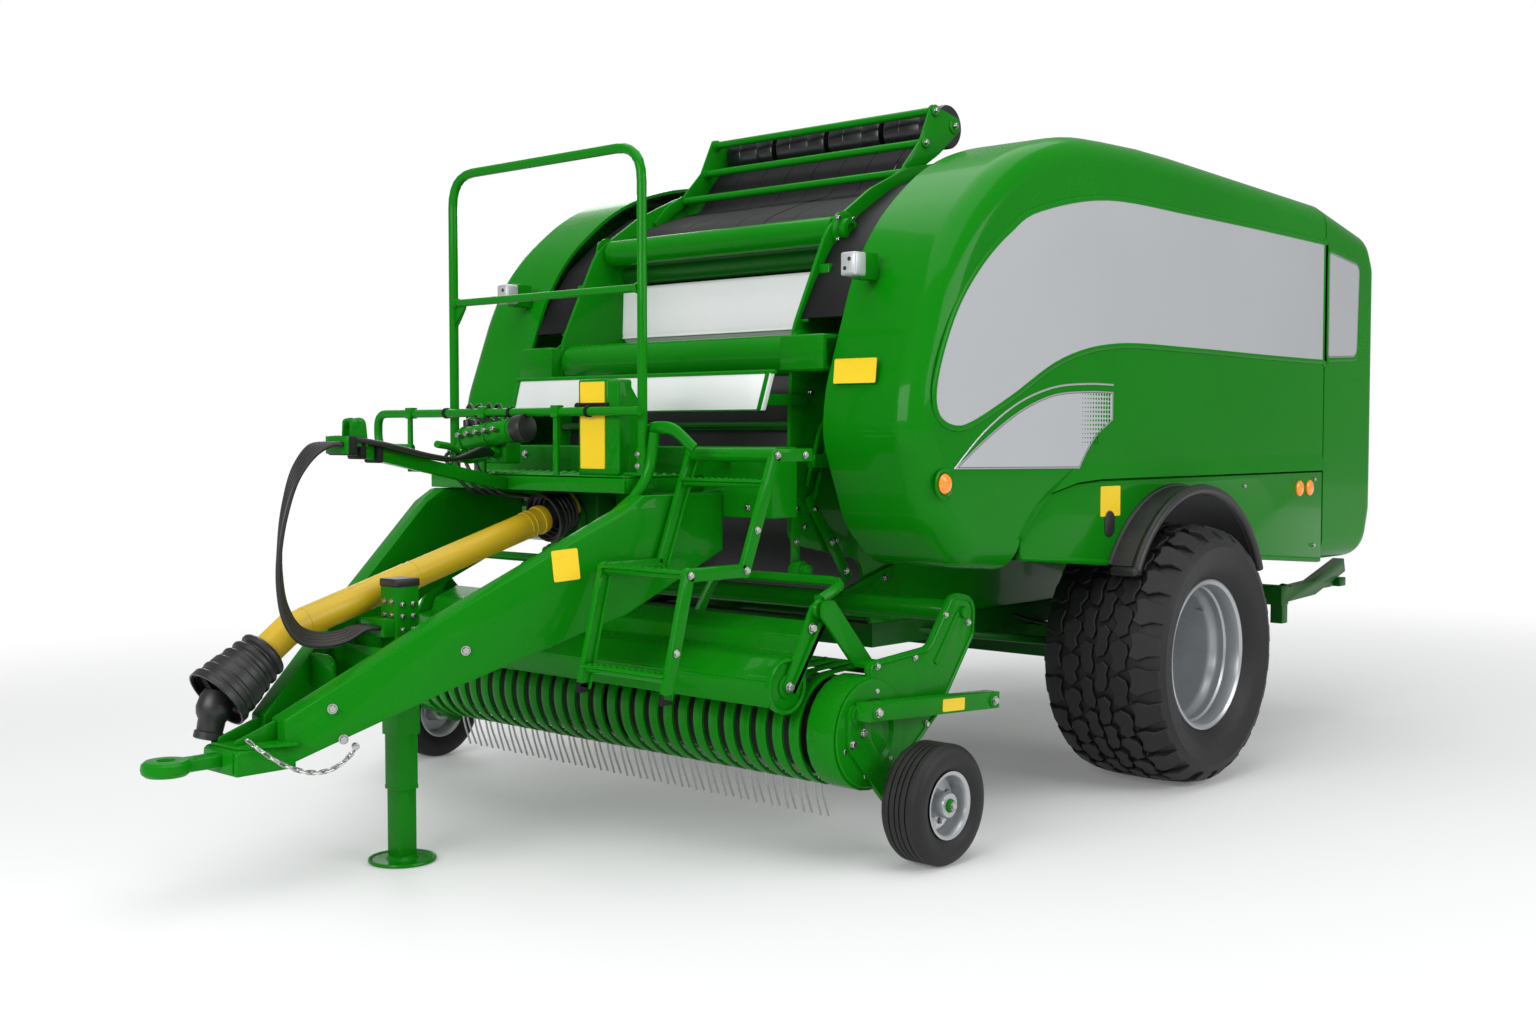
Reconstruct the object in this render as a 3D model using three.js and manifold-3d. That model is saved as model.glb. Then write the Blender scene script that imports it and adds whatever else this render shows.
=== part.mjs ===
// Towed round baler, parked on its jack: millimetres, +Z up, +X the machine's left, -Y forward.
// Inside the machine group y = 0 is the main axle line and z = 0 the ground.
import * as THREE from 'three';
import { mergeVertices } from 'three/addons/utils/BufferGeometryUtils.js';
import Module from 'manifold-3d';

const wasm = await Module();
wasm.setup();

// ---------- driving dimensions ----------
const GAP = 0.3; // between pieces that touch

const WHEEL = { x: 1265, radius: 537.5, halfWidth: 272, seat: 292, rimHalf: 222, dish: 150, sides: 20 };
const GAUGE = { x: 1397, y: -1770, radius: 205.5, halfWidth: 82, seat: 106, rimHalf: 70, bore: 23, sides: 16 };
const AXLE = { half: 70, length: 960, hubRadius: 90, drumRadius: 190, drumFrom: 1015, drumTo: 1100 };

const CHAMBER = { half: 640, wall: 15, front: -1660, rear: 420, floor: 700, roofSheet: 12 };
const RAIL = { inner: 600, outer: 660, top: 700, front: -1180, rear: 1400, cross: 80 };
const REAR_FRAME = { half: 1150, depth: 80, armWidth: 60, armEnd: 2140, armRise: 95 };

const COVER = { face: 1280, lip: 860, skin: 14, round: 110, seam: 1549, rearEdge: 2200, seamGap: 12.5 };
const SKIRT = { thickness: 16, bottomRear: 820, crease: 1266 };
const ARCH = { y: 80, z: 620, radius: 590, thickness: 15, reach: 140, from: 24, to: 150, steps: 14 };
const LINER = { thickness: 10, gap: 5 };
const HINGE_RAIL = { width: 30, height: 40, from: -620, to: 1500, z: 2560 };

const GATE = {
  hingeY: 400, hingeZ: 2535, pin: 20, ear: 42, earThickness: 14, side: 6, skin: 14, gap: 12, bottom: 850, step: 4,
};

const BEAM = { outerX: 100, frontY: -3430, slope: 0.5, width: 80, straightX: 600, top: 1236, frontTop: 548 };
const HEAD = { half: 100, front: -3600, bottom: 390, top: 470 };
const EYE = { y: -3776, z: 435, radius: 75, hole: 27, thickness: 50, shank: 60 };
const JACK = { x: 40, y: -2952, sleeve: 45, wall: 4, top: 950, mouth: 433, leg: 40.4, lower: 36 };
const FOOT = { radius: 115, thickness: 12, legTop: 600, step: 250 };

const CROSSBEAM = { half: 840, front: -1960, rear: -1830, bottom: 1150, top: 1400 };
const DECK = { front: -2350, left: 500, right: -600, top: 1300, thickness: 12, lip: 60 };
const RAILING = { y: -2280, left: 520, right: -540, top: 2440, mid: 1950, radius: 18, bend: 110 };
const LOW_RAIL = { y: -2332, z: 1525, low: 1390, end: -976, left: 560, radius: 17, post: -760 };
const LABEL_BOX = { x0: 215, x1: 430, y0: -2312, y1: -2190, z1: 1640 };
const LADDER = { inner: 610, outer: 1000, stile: 22, depth: 46, tread: 50 };
const GEARBOX = { x0: -240, x1: 40, y0: -2060, z0: 1000, z1: 1230 };
const PTO = { x: -100, rearZ: 1130, tubeRear: -2205, tubeFront: -3290, tubeFrontZ: 806, radius: 52, elbow: 104 };
const BOOT = { endY: -3552, endZ: 606, neck: 62, narrow: 88, wide: 112, yoke: 130 };
const COMB = { front: 24 };
const ARM = { width: 44, frontY: -3150, frontZ: 1405, rearX: -150, rearY: -2359, rearZ: 1262 };

const UPPER_ROLLER = { y: -1360, z: 2220, radius: 57 };
const LOWER_ROLLER = { y: -1645, z: 1740, radius: 78 };
const NET_PLATE = { y: -1290, low: 1865, high: 2080, thickness: 6 };
const SIGN = { half: 730, y: -1850, low: 1530, high: 1665, thickness: 24, slant: 45 };
const ROLLS = { y: -600, z: 2718, radius: 92, half: 609, count: 4, core: 28, slot: 14 };
const BAR = { radius: 17, highY: -735, highZ: 2762, midY: -800, midZ: 2625, lowY: -930, lowZ: 2490 };

const PIVOT = { y: -1330, z: 800, tube: 40, pin: 20, end: 1150 };
const DRUM = { y: -1870, z: 430, radius: 195, plateX: 1185, plate: 15, canFrom: 1085 };
const BAND = { count: 28, width: 45, thickness: 5, half: 1050 };
const TINE = { length: 168, rod: 4, shaft: 30, bar: 13, barInset: 45, lean: 60, spider: 20, run: 0.5 };
const GUARD = { y: -1970, z: 852, discY: -2120, discZ: 602, disc: 95, discX: 1030, roller: 48, pin: 14 };
const GAUGE_ARM = { x0: 1222, x1: 1282, plate: 20, linkRear: -1214, linkFront: -1950, depth: 60 };
const HOSE = { seat: 0.8, radius: 9, count: 5, pitch: 21, firstX: -34, endY: -3040 };

const FRONT = EYE.y - EYE.radius;
const MACHINE_SHIFT = -(FRONT + COVER.rearEdge) / 2; // puts the origin at the middle of the length

// ---------- finishes ----------
const finish = (color, roughness, metalness) => new THREE.MeshStandardMaterial({ color, roughness, metalness });
const GREEN = finish(0x0f7d1c, 0.28, 0.1);
const SILVER = finish(0xc9ccce, 0.35, 0.4);
const YELLOW = finish(0xc7a11e, 0.45, 0);
const BLACK = finish(0x17181a, 0.6, 0);
const RUBBER = finish(0x1c1c1d, 0.85, 0);
const STEEL = finish(0x9a9da0, 0.35, 0.9);

// ---------- solids ----------
function signedVolume(position, index) {
  const [a, b, c] = [new THREE.Vector3(), new THREE.Vector3(), new THREE.Vector3()];
  let sum = 0;
  for (let i = 0; i < index.length; i += 3) {
    a.fromBufferAttribute(position, index[i]);
    b.fromBufferAttribute(position, index[i + 1]);
    c.fromBufferAttribute(position, index[i + 2]);
    sum += a.dot(b.cross(c));
  }
  return sum / 6;
}

// Welds a closed geometry, drops collapsed triangles and turns its faces outwards.
function solidOf(geometry) {
  const bare = geometry.clone();
  bare.deleteAttribute('normal');
  bare.deleteAttribute('uv');
  const welded = mergeVertices(bare, 1e-3);
  const kept = [];
  for (let i = 0; i < welded.index.count; i += 3) {
    const [a, b, c] = [0, 1, 2].map((k) => welded.index.getX(i + k));
    if (a !== b && b !== c && c !== a) kept.push(a, b, c);
  }
  if (signedVolume(welded.attributes.position, kept) < 0) kept.reverse();
  const vertProperties = new Float32Array(welded.attributes.position.array);
  return new wasm.Manifold(new wasm.Mesh({ numProp: 3, vertProperties, triVerts: new Uint32Array(kept) }));
}

function geometryOf(solid) {
  const mesh = solid.getMesh();
  const geometry = new THREE.BufferGeometry();
  geometry.setAttribute('position', new THREE.BufferAttribute(new Float32Array(mesh.vertProperties), 3));
  geometry.setIndex(new THREE.BufferAttribute(new Uint32Array(mesh.triVerts), 1));
  geometry.computeVertexNormals();
  return geometry;
}

const join = (...solids) => solids.flat().reduce((all, solid) => all.add(solid));
const cut = (solid, ...cutters) => cutters.flat().reduce((rest, cutter) => rest.subtract(cutter), solid);
const moved = (solid, x, y, z) => solidOf(geometryOf(solid).translate(x, y, z));
const mirrored = (solid) => solidOf(geometryOf(solid).scale(-1, 1, 1));
const bothSides = (solid) => join(solid, mirrored(solid));

// A box between two corners, its coordinates given in pairs.
function box(x0, x1, y0, y1, z0, z1) {
  const geometry = new THREE.BoxGeometry(x1 - x0, y1 - y0, z1 - z0);
  return solidOf(geometry.translate((x0 + x1) / 2, (y0 + y1) / 2, (z0 + z1) / 2));
}

// Corners [u, v, radius] become a polygon whose corners are rounded with short arcs.
function rounded(corners, stepsPerTurn = 20) {
  const points = [];
  corners.forEach(([u, v, radius = 0], i) => {
    const here = new THREE.Vector2(u, v);
    const [pu, pv] = corners[(i + corners.length - 1) % corners.length];
    const [nu, nv] = corners[(i + 1) % corners.length];
    const back = new THREE.Vector2(pu, pv).sub(here).normalize();
    const on = new THREE.Vector2(nu, nv).sub(here).normalize();
    const half = Math.acos(THREE.MathUtils.clamp(back.dot(on), -1, 1)) / 2;
    const turn = Math.PI - 2 * half;
    if (radius === 0 || turn < 0.02) {
      points.push(here);
      return;
    }
    const reach = radius / Math.tan(half);
    const start = here.clone().addScaledVector(back, reach);
    const end = here.clone().addScaledVector(on, reach);
    const centre = here.clone().addScaledVector(back.clone().add(on).normalize(), radius / Math.sin(half));
    const steps = Math.max(2, Math.ceil((turn / (2 * Math.PI)) * stepsPerTurn));
    const from = start.clone().sub(centre);
    const sign = Math.sign(from.cross(end.clone().sub(centre)));
    for (let k = 0; k <= steps; k += 1) {
      points.push(from.clone().rotateAround(new THREE.Vector2(), (sign * turn * k) / steps).add(centre));
    }
  });
  return points;
}

// A strip of even thickness along a folded centre line.
function strip(path, thickness) {
  const line = path.map(([u, v]) => new THREE.Vector2(u, v));
  const side = (sign) => line.map((point, i) => {
    const before = line[Math.max(i - 1, 0)];
    const after = line[Math.min(i + 1, line.length - 1)];
    const first = (i === 0 ? after : point).clone().sub(i === 0 ? point : before).normalize();
    const second = (i === line.length - 1 ? point : after).clone().sub(i === line.length - 1 ? before : point);
    const normal = first.clone().add(second.normalize()).normalize();
    const stretch = 1 / Math.max(normal.dot(first), 0.3);
    return point.clone().add(new THREE.Vector2(-normal.y, normal.x).multiplyScalar((sign * thickness * stretch) / 2));
  });
  return [...side(1), ...side(-1).reverse()];
}

// Moves every edge of a counter-clockwise outline inwards by one distance.
function inset(points, distance) {
  return points.map((point, i) => {
    const before = points[(i + points.length - 1) % points.length];
    const after = points[(i + 1) % points.length];
    const first = point.clone().sub(before).normalize();
    const normal = first.clone().add(after.clone().sub(point).normalize()).normalize();
    const stretch = distance / Math.max(normal.dot(first), 0.3);
    return point.clone().add(new THREE.Vector2(-normal.y, normal.x).multiplyScalar(stretch));
  });
}

const circle = (u, v, radius, sides = 16) => Array.from({ length: sides }, (_, i) => {
  const angle = (2 * Math.PI * i) / sides;
  return new THREE.Vector2(u + radius * Math.cos(angle), v + radius * Math.sin(angle));
});

// Points of an arc, angles in degrees.
const arc = (u, v, radius, from, to, steps) => Array.from({ length: steps + 1 }, (_, i) => {
  const angle = THREE.MathUtils.degToRad(from + ((to - from) * i) / steps);
  return [u + radius * Math.cos(angle), v + radius * Math.sin(angle)];
});

function extruded(points, depth, bevel) {
  const shape = new THREE.Shape(points);
  return new THREE.ExtrudeGeometry(shape, { depth, steps: 1, bevelEnabled: false, ...bevel });
}

const axesYZX = new THREE.Matrix4().set(0, 0, 1, 0, 1, 0, 0, 0, 0, 1, 0, 0, 0, 0, 0, 1);
const axesXZY = new THREE.Matrix4().set(1, 0, 0, 0, 0, 0, -1, 0, 0, 1, 0, 0, 0, 0, 0, 1);

// Prisms: an outline in (y, z) along X, in (x, z) along Y, or in (x, y) along Z.
const alongX = (points, x0, x1) => (
  solidOf(extruded(points, x1 - x0).applyMatrix4(axesYZX).translate(x0, 0, 0)));
const alongY = (points, y0, y1) => (
  solidOf(extruded(points, y1 - y0).applyMatrix4(axesXZY).translate(0, y1, 0)));
const alongZ = (points, z0, z1) => solidOf(extruded(points, z1 - z0).translate(0, 0, z0));

const rodX = (x0, x1, y, z, radius, sides = 16) => alongX(circle(y, z, radius, sides), x0, x1);
const rodZ = (x, y, z0, z1, radius, sides = 16) => alongZ(circle(x, y, radius, sides), z0, z1);

// A curve that passes through its stations one after the other, so that each step of a sweep ends on one.
class StationCurve extends THREE.Curve {
  constructor(stations) {
    super();
    this.stations = stations;
  }

  getPoint(t, target = new THREE.Vector3()) {
    const place = t * (this.stations.length - 1);
    const i = Math.min(Math.floor(place), this.stations.length - 2);
    return target.lerpVectors(this.stations[i], this.stations[i + 1], place - i);
  }

  getPointAt(u, target) {
    return this.getPoint(u, target);
  }

  getTangentAt(u, target = new THREE.Vector3()) {
    const last = this.stations.length - 1;
    const i = Math.round(u * last);
    const into = this.stations[Math.max(i, 1)].clone().sub(this.stations[Math.max(i, 1) - 1]).normalize();
    const out = this.stations[Math.min(i, last - 1) + 1].clone().sub(this.stations[Math.min(i, last - 1)]);
    return target.copy(into.add(out.normalize())).normalize();
  }
}

function sweep(stations, radius, sides) {
  const section = new THREE.Shape(circle(0, 0, radius, sides));
  const extrudePath = new StationCurve(stations);
  return solidOf(new THREE.ExtrudeGeometry(section, { steps: stations.length - 1, extrudePath }));
}

// A tube through corner points [x, y, z], each inner corner bent to a radius.
function tube(corners, radius, bend = 60, sides = 10) {
  const points = corners.map((corner) => new THREE.Vector3(...corner));
  const stations = [points[0]];
  for (let i = 1; i < points.length - 1; i += 1) {
    const back = points[i - 1].clone().sub(points[i]).normalize();
    const on = points[i + 1].clone().sub(points[i]).normalize();
    const half = back.angleTo(on) / 2;
    const reach = bend / Math.tan(half);
    const start = points[i].clone().addScaledVector(back, reach);
    const end = points[i].clone().addScaledVector(on, reach);
    const curve = new THREE.QuadraticBezierCurve3(start, points[i], end);
    stations.push(...curve.getPoints(3));
  }
  stations.push(points[points.length - 1]);
  return sweep(stations, radius, sides);
}

// A turned piece about the X axis: profile points [radius, x], closed on itself or on the axis.
function turned(profile, sides) {
  const closed = profile[0][0] > 0 ? [...profile, profile[0]] : profile;
  const points = closed.map(([radius, along]) => new THREE.Vector2(radius, along));
  return solidOf(new THREE.LatheGeometry(points, sides).rotateZ(-Math.PI / 2));
}

// A turned piece between two points, profile points [radius, distance from the first point].
function turnedBetween(profile, from, to, sides = 16) {
  const points = profile.map(([radius, along]) => new THREE.Vector2(radius, along));
  const direction = to.clone().sub(from).normalize();
  const turn = new THREE.Quaternion().setFromUnitVectors(new THREE.Vector3(0, 1, 0), direction);
  return solidOf(new THREE.LatheGeometry(points, sides).applyQuaternion(turn).translate(...from));
}

// A four-sided bar between two [x, y, z] points, wide across X and deep across its own length.
function bar(from, to, width, depth) {
  const [start, end] = [new THREE.Vector3(...from), new THREE.Vector3(...to)];
  const length = start.distanceTo(end);
  const geometry = new THREE.BoxGeometry(width, length, depth).translate(0, length / 2, 0);
  const along = end.clone().sub(start).normalize();
  const across = new THREE.Vector3(1, 0, 0).addScaledVector(along, -along.x).normalize();
  const up = across.clone().cross(along);
  return solidOf(geometry.applyMatrix4(new THREE.Matrix4().makeBasis(across, along, up)).translate(...from));
}

// ---------- assembly ----------
const machine = new THREE.Group();
machine.position.y = MACHINE_SHIFT;

function place(name, solid, material, position = [0, 0, 0]) {
  const mesh = new THREE.Mesh(geometryOf(solid), material);
  mesh.name = name;
  mesh.position.set(...position);
  machine.add(mesh);
}

function placePair(name, leftSolid, material, position = [0, 0, 0]) {
  const [x, y, z] = position;
  place(`${name}_left`, leftSolid, material, position);
  place(`${name}_right`, mirrored(leftSolid), material, [-x, y, z]);
}

// ---------- main wheels and axle ----------
function addMainWheels() {
  const { seat, halfWidth, radius, rimHalf, dish, sides } = WHEEL;
  const bead = rimHalf - 10;
  const side = [[seat, bead], [seat + 24, bead], [350, 248], [450, halfWidth]];
  const shoulder = [[526, 238], [radius, 190]];
  const half = [...side, ...shoulder];
  const tyre = turned([...half.map(([r, x]) => [r, -x]), ...half.reverse()], sides);
  const barrel = seat - 0.4;
  const flange = [[barrel, bead + GAP], [seat + 20, bead + GAP], [seat + 20, rimHalf], [seat - 12, rimHalf]];
  const rim = turned([
    [0, 57 - dish], [78, 57 - dish], [84, 12 - dish], [256, 12 - dish], [262, 34], [280, 54],
    ...[...flange].reverse(),
    ...flange.map(([r, x]) => [r, -x]), [280, -dish], [0, -dish],
  ], sides);
  placePair('main_tyre', tyre, RUBBER, [WHEEL.x, 0, radius]);
  placePair('main_rim', rim, SILVER, [WHEEL.x, 0, radius]);
}

function addAxle() {
  const z = WHEEL.radius;
  const beam = box(-AXLE.length, AXLE.length, -AXLE.half, AXLE.half, z - AXLE.half, z + AXLE.half);
  const hubEnd = WHEEL.x - WHEEL.dish - GAP;
  const hub = join(
    rodX(AXLE.length - 40, hubEnd, 0, z, AXLE.hubRadius),
    rodX(AXLE.drumFrom, AXLE.drumTo, 0, z, AXLE.drumRadius, 16),
  );
  place('main_axle', join(beam, bothSides(hub)), GREEN);
}

// ---------- chassis ----------
function addChassis() {
  const bottom = WHEEL.radius + AXLE.half + GAP;
  const { inner, outer, top, front, rear, cross } = RAIL;
  const rails = bothSides(box(inner, outer, front, rear, bottom, top));
  const frontCross = box(-outer, outer, front, front + cross, bottom, top);
  const rearCross = box(-outer, outer, rear - cross, rear, bottom, top);
  const { half, depth, armWidth, armEnd, armRise } = REAR_FRAME;
  const y0 = rear - 2;
  const beam = box(-half, half, y0, y0 + depth, bottom, top);
  const armPath = [[y0 + depth / 2, bottom + 46], [1780, bottom + 60], [armEnd, bottom + 60 + armRise]];
  const arm = alongX(strip(armPath, 70), half - armWidth, half);
  const hanger = box(half - armWidth, half, y0 + 10, y0 + 70, bottom - 90, bottom + 10);
  place('chassis_frame', join(rails, frontCross, rearCross, beam, bothSides(join(arm, hanger))), GREEN);
}

// ---------- side covers ----------
const coverCorners = [
  [-1420, 965, 230], [COVER.seam + 400, 700, 0], [COVER.seam + 400, 2520, 0],
  [COVER.seam, 2560, 0], [-150, 2625, 900], [-730, 2602, 400], [-1120, 2475, 420], [-1500, 2160, 420],
  [-1705, 1600, 220], [-1720, 1430, 260], [-1590, 1110, 300],
];
const coverOutline = rounded(coverCorners, 26);

// A rounded shell: the outline's edge is bevelled towards the outer face, hollow behind the skin.
function coverShell(outline, lip) {
  const { face, skin, round } = COVER;
  const solidWith = (points, back, front, size) => {
    const bevel = {
      bevelEnabled: true, bevelSize: size, bevelOffset: -size, bevelThickness: size, bevelSegments: 2,
    };
    const depth = front - back;
    return solidOf(extruded(points, depth, bevel).applyMatrix4(axesYZX).translate(back, 0, 0));
  };
  const outer = solidWith(outline, lip - 2 * round, face - round, round);
  const inner = solidWith(inset(outline, skin), lip - 3 * round, face - round, round - skin);
  const keep = box(lip, face + 10, -2500, 3500, 0, 3500);
  return cut(outer, inner).intersect(keep);
}

// The door ends on the crease above the skirt and on the rear seam.
const creaseLine = [[-1125, 900], [-1085, 1050], [-1000, 1140], [-882, 1222], [-700, 1256], [-521, SKIRT.crease]];

function addSideDoors() {
  const below = [...creaseLine, [4000, SKIRT.crease], [4000, -200], [-1125, -200]];
  const belowShape = alongX(below.map(([y, z]) => new THREE.Vector2(y, z)), 0, 2000);
  const behind = box(0, 2000, COVER.seam, 4000, -100, 4000);
  const door = cut(coverShell(coverOutline, COVER.lip), belowShape, behind);
  placePair('side_door', door, GREEN);
}

// Everything under the arch, one gap outside its upper face.
function underArch() {
  const { y, z, radius, thickness, from, to, steps } = ARCH;
  const edge = arc(y, z, radius + thickness + GAP + 0.05, from, to, steps);
  const [rearEnd, frontEnd] = [edge[0][0], edge[steps][0]];
  return alongX([...edge, [frontEnd, 0], [rearEnd, 0]].map(([u, v]) => new THREE.Vector2(u, v)), 0, 2000);
}

function addSkirtsAndFenders() {
  const { face, seam } = COVER;
  const clearance = 6;
  const top = creaseLine.slice(1).map(([y, z]) => [y + clearance, z - clearance]);
  const outline = [...top, [seam, SKIRT.crease - clearance], [seam, SKIRT.bottomRear], [660, 895],
    [-450, 925], [-1075, 985]].map(([y, z]) => new THREE.Vector2(y, z));
  const panel = cut(alongX(outline, face - SKIRT.thickness, face), underArch());
  placePair('side_skirt', panel, GREEN);

  const reach = ARCH.radius + ARCH.thickness / 2;
  const line = arc(ARCH.y, ARCH.z, reach, ARCH.from, ARCH.to, ARCH.steps);
  const from = CHAMBER.half + CHAMBER.wall + GAP;
  const besideGate = box(0, from + GATE.side, CHAMBER.rear - 20, 2000, 0, 3000);
  placePair('wheel_arch', cut(alongX(strip(line, ARCH.thickness), from, COVER.face + ARCH.reach), besideGate), BLACK);
}

function addLiners() {
  const wallFace = CHAMBER.half + CHAMBER.wall + GAP;
  const curve = [[-1600, 1870], [-1520, 2010], [-1420, 2150], [-1250, 2290], [-1060, 2405], [-860, 2480], [-640, 2515]];
  const liner = alongX(strip(curve, LINER.thickness), wallFace, COVER.lip - LINER.gap);
  placePair('cover_liner', liner, BLACK);
}

// ---------- bale chamber ----------
const wallCorners = [
  [-1180, CHAMBER.floor + GAP, 0], [CHAMBER.rear, CHAMBER.floor + GAP, 0], [CHAMBER.rear, 2580, 0],
  [-640, 2570, 300], [-960, 2500, 200], [-1190, 2395, 200], [-1440, 2230, 200], [-1640, 1830, 200],
  [CHAMBER.front, 1500, 0], [CHAMBER.front, 1040, 60], [-1250, 960, 60],
];

function hingeRail() {
  const { width, height, from, to, z } = HINGE_RAIL;
  const edge = COVER.lip - GAP;
  const rail = box(edge - width, edge, from, to, z, z + height);
  const stay = (y) => box(CHAMBER.half + 4, edge - 4, y, y + 60, z - 40, z + 4);
  return join(rail, stay(from), stay(-100), stay(250));
}

function addChamber() {
  const { half, wall, rear, floor, roofSheet } = CHAMBER;
  const plate = alongX(rounded(wallCorners), half, half + wall);
  const { y, z, radius } = LOWER_ROLLER;
  const housing = box(half + 2, COVER.lip - 12, y - radius + 22, y + radius + 4, z - 60, z + 60);
  const pin = rodX(half + 2, half + wall + 60, GATE.hingeY, GATE.hingeZ, GATE.pin);
  placePair('chamber_wall', join(plate, housing, pin, hingeRail()), GREEN);

  const inside = half - GAP;
  const line = [[rear - 30, floor + 30], [-600, floor + 30], [-1000, 800], [-1300, 985], [-1540, 1150],
    [-1600, 1400], [-1580, 1570], [-1450, 1640], [-1300, 1740], [-1200, 1860], [-1180, 2060], [-1130, 2260],
    [-960, 2400],
    [-640, 2480], [-300, 2520], [rear - 30, 2530]];
  place('chamber_shell', alongX(strip(line, roofSheet), -inside, inside), BLACK);
}

// ---------- front of the chamber ----------
function addChamberFront() {
  const inside = CHAMBER.half - GAP;
  const upper = UPPER_ROLLER;
  place('upper_front_roller', rodX(-inside, inside, upper.y, upper.z, upper.radius, 20), GREEN);
  const lower = LOWER_ROLLER;
  place('lower_front_roller', rodX(-inside, inside, lower.y + 60, lower.z, lower.radius, 20), GREEN);

  const net = NET_PLATE;
  const plateLine = [[net.y + 14, net.high], [net.y, net.high - 12], [net.y - 8, net.low], [net.y + 24, net.low - 26]];
  place('net_guide_plate', alongX(strip(plateLine, net.thickness), -inside, inside), SILVER);

  const board = alongY(
    [[-SIGN.half, SIGN.low], [SIGN.half - SIGN.slant, SIGN.low], [SIGN.half, SIGN.high],
      [SIGN.slant - SIGN.half, SIGN.high]].map(([x, z]) => new THREE.Vector2(x, z)),
    SIGN.y, SIGN.y + SIGN.thickness,
  );
  const wallFace = CHAMBER.half + CHAMBER.wall + GAP;
  const stay = box(wallFace, wallFace + 14, SIGN.y + 4, -1580, SIGN.low + 20, SIGN.low + 60);
  place('front_sign_board', join(board, bothSides(stay)), SILVER);
}

// ---------- wrap roll magazine ----------
function addRollMagazine() {
  const inside = CHAMBER.half - GAP;
  const { radius, highY, highZ, midY, midZ, lowY, lowZ } = BAR;
  const cheekX = ROLLS.half + 4;
  const cheek = alongX(
    rounded([[-560, 2700, 0], [-560, 2750, 20], [highY - 20, highZ + 26, 20], [midY - 34, midZ, 20],
      [lowY - 26, lowZ + 10, 20], [lowY + 20, lowZ - 26, 20], [-700, 2590, 20]]),
    cheekX, cheekX + 10,
  );
  const bars = [
    rodX(-cheekX - 5, cheekX + 5, highY, highZ, radius, 10),
    rodX(-cheekX - 5, cheekX + 5, midY, midZ, radius, 10),
    rodX(-inside, inside, lowY, lowZ, radius, 10),
  ];
  place('roll_magazine_frame', join(bars, bothSides(cheek)), GREEN);

  const { y, z, half, count, core, slot } = ROLLS;
  const pitch = (2 * half) / count;
  const rolls = Array.from({ length: count }, (_, i) => {
    const x0 = -half + i * pitch;
    return rodX(x0 + slot, x0 + pitch - slot, y, z, ROLLS.radius, 14);
  });
  place('wrap_rolls', join(rodX(GAP - cheekX, cheekX - GAP, y, z, core, 12), rolls), BLACK);

  const drop = [[-690, 2650], [-780, 2560], [-830, 2450], [-1010, 2400], [-1200, 2330], [-1262, 2290]];
  place('roll_curtain', alongX(strip(drop, 8), GAP - cheekX, cheekX - GAP), BLACK);
}

// ---------- drawbar, hitch and jack ----------
const beamShear = new THREE.Matrix4().set(
  1, BEAM.slope, 0, -BEAM.slope * BEAM.frontY, 0, 1, 0, 0, 0, 0, 1, 0, 0, 0, 0, 1,
);
const beamBendY = BEAM.frontY + (BEAM.straightX - BEAM.outerX) / BEAM.slope;
const beamX = (y) => BEAM.outerX + BEAM.slope * (Math.min(y, beamBendY) - BEAM.frontY);

function addDrawbar() {
  const rear = CROSSBEAM.front - GAP;
  const side = [[BEAM.frontY, 400], [-2970, 610], [rear, 1030], [rear, BEAM.top], [-2352, BEAM.top],
    [-2970, 853], [BEAM.frontY, BEAM.frontTop]].map(([y, z]) => new THREE.Vector2(y, z));
  const whole = alongX(side, BEAM.outerX - BEAM.width, BEAM.outerX);
  const slanted = solidOf(geometryOf(whole).applyMatrix4(beamShear));
  const straight = moved(whole, BEAM.straightX - BEAM.outerX, 0, 0);
  const rearHalf = box(-2000, 2000, beamBendY, 0, 0, 3000);
  const beam = join(cut(slanted, rearHalf), straight.intersect(rearHalf));

  const { half, front, bottom, top } = HEAD;
  const block = alongX(
    rounded([[BEAM.frontY + 40, bottom, 0], [BEAM.frontY + 40, top, 0], [front, top, 20], [front, bottom, 0]]),
    -half, half,
  );
  place('drawbar', join(bothSides(beam), block), GREEN);

  const eye = EYE;
  const low = eye.z - eye.thickness / 2;
  const ring = rodZ(0, eye.y, low, low + eye.thickness, eye.radius, 20);
  const shank = box(-eye.shank / 2, eye.shank / 2, eye.y, HEAD.front - GAP, low + 4, low + eye.thickness - 4);
  const hole = rodZ(0, eye.y, low - 5, low + eye.thickness + 5, eye.hole, 16);
  place('hitch_eye', cut(join(ring, shank), hole), GREEN);
}

function addJack() {
  const { x, y, sleeve, wall, top, mouth, leg, lower } = JACK;
  const tubeAt = (half, z0, z1) => box(x - half, x + half, y - half, y + half, z0, z1);
  const plateY = y + sleeve - 2;
  const reach = (at) => beamX(at) - BEAM.width - 1;
  const bridge = alongZ([
    [-reach(plateY), plateY], [reach(plateY), plateY], [reach(plateY + 14), plateY + 14],
    [-reach(plateY + 14), plateY + 14],
  ].map(([u, v]) => new THREE.Vector2(u, v)), 615, 790);
  const bore = tubeAt(sleeve - wall, mouth - 10, top - 12);
  const hoseHolder = box(-60, 76, HOSE.endY, y - sleeve + 2, 770, 830);
  place('jack_sleeve', join(cut(tubeAt(sleeve, mouth, top), bore), bridge, hoseHolder), GREEN);

  const foot = rodZ(x, y, 0, FOOT.thickness, FOOT.radius, 24);
  const legSolid = join(foot, tubeAt(lower, 4, FOOT.step + 4), tubeAt(leg, FOOT.step, FOOT.legTop));
  place('jack_leg', legSolid, GREEN);
}

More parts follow.
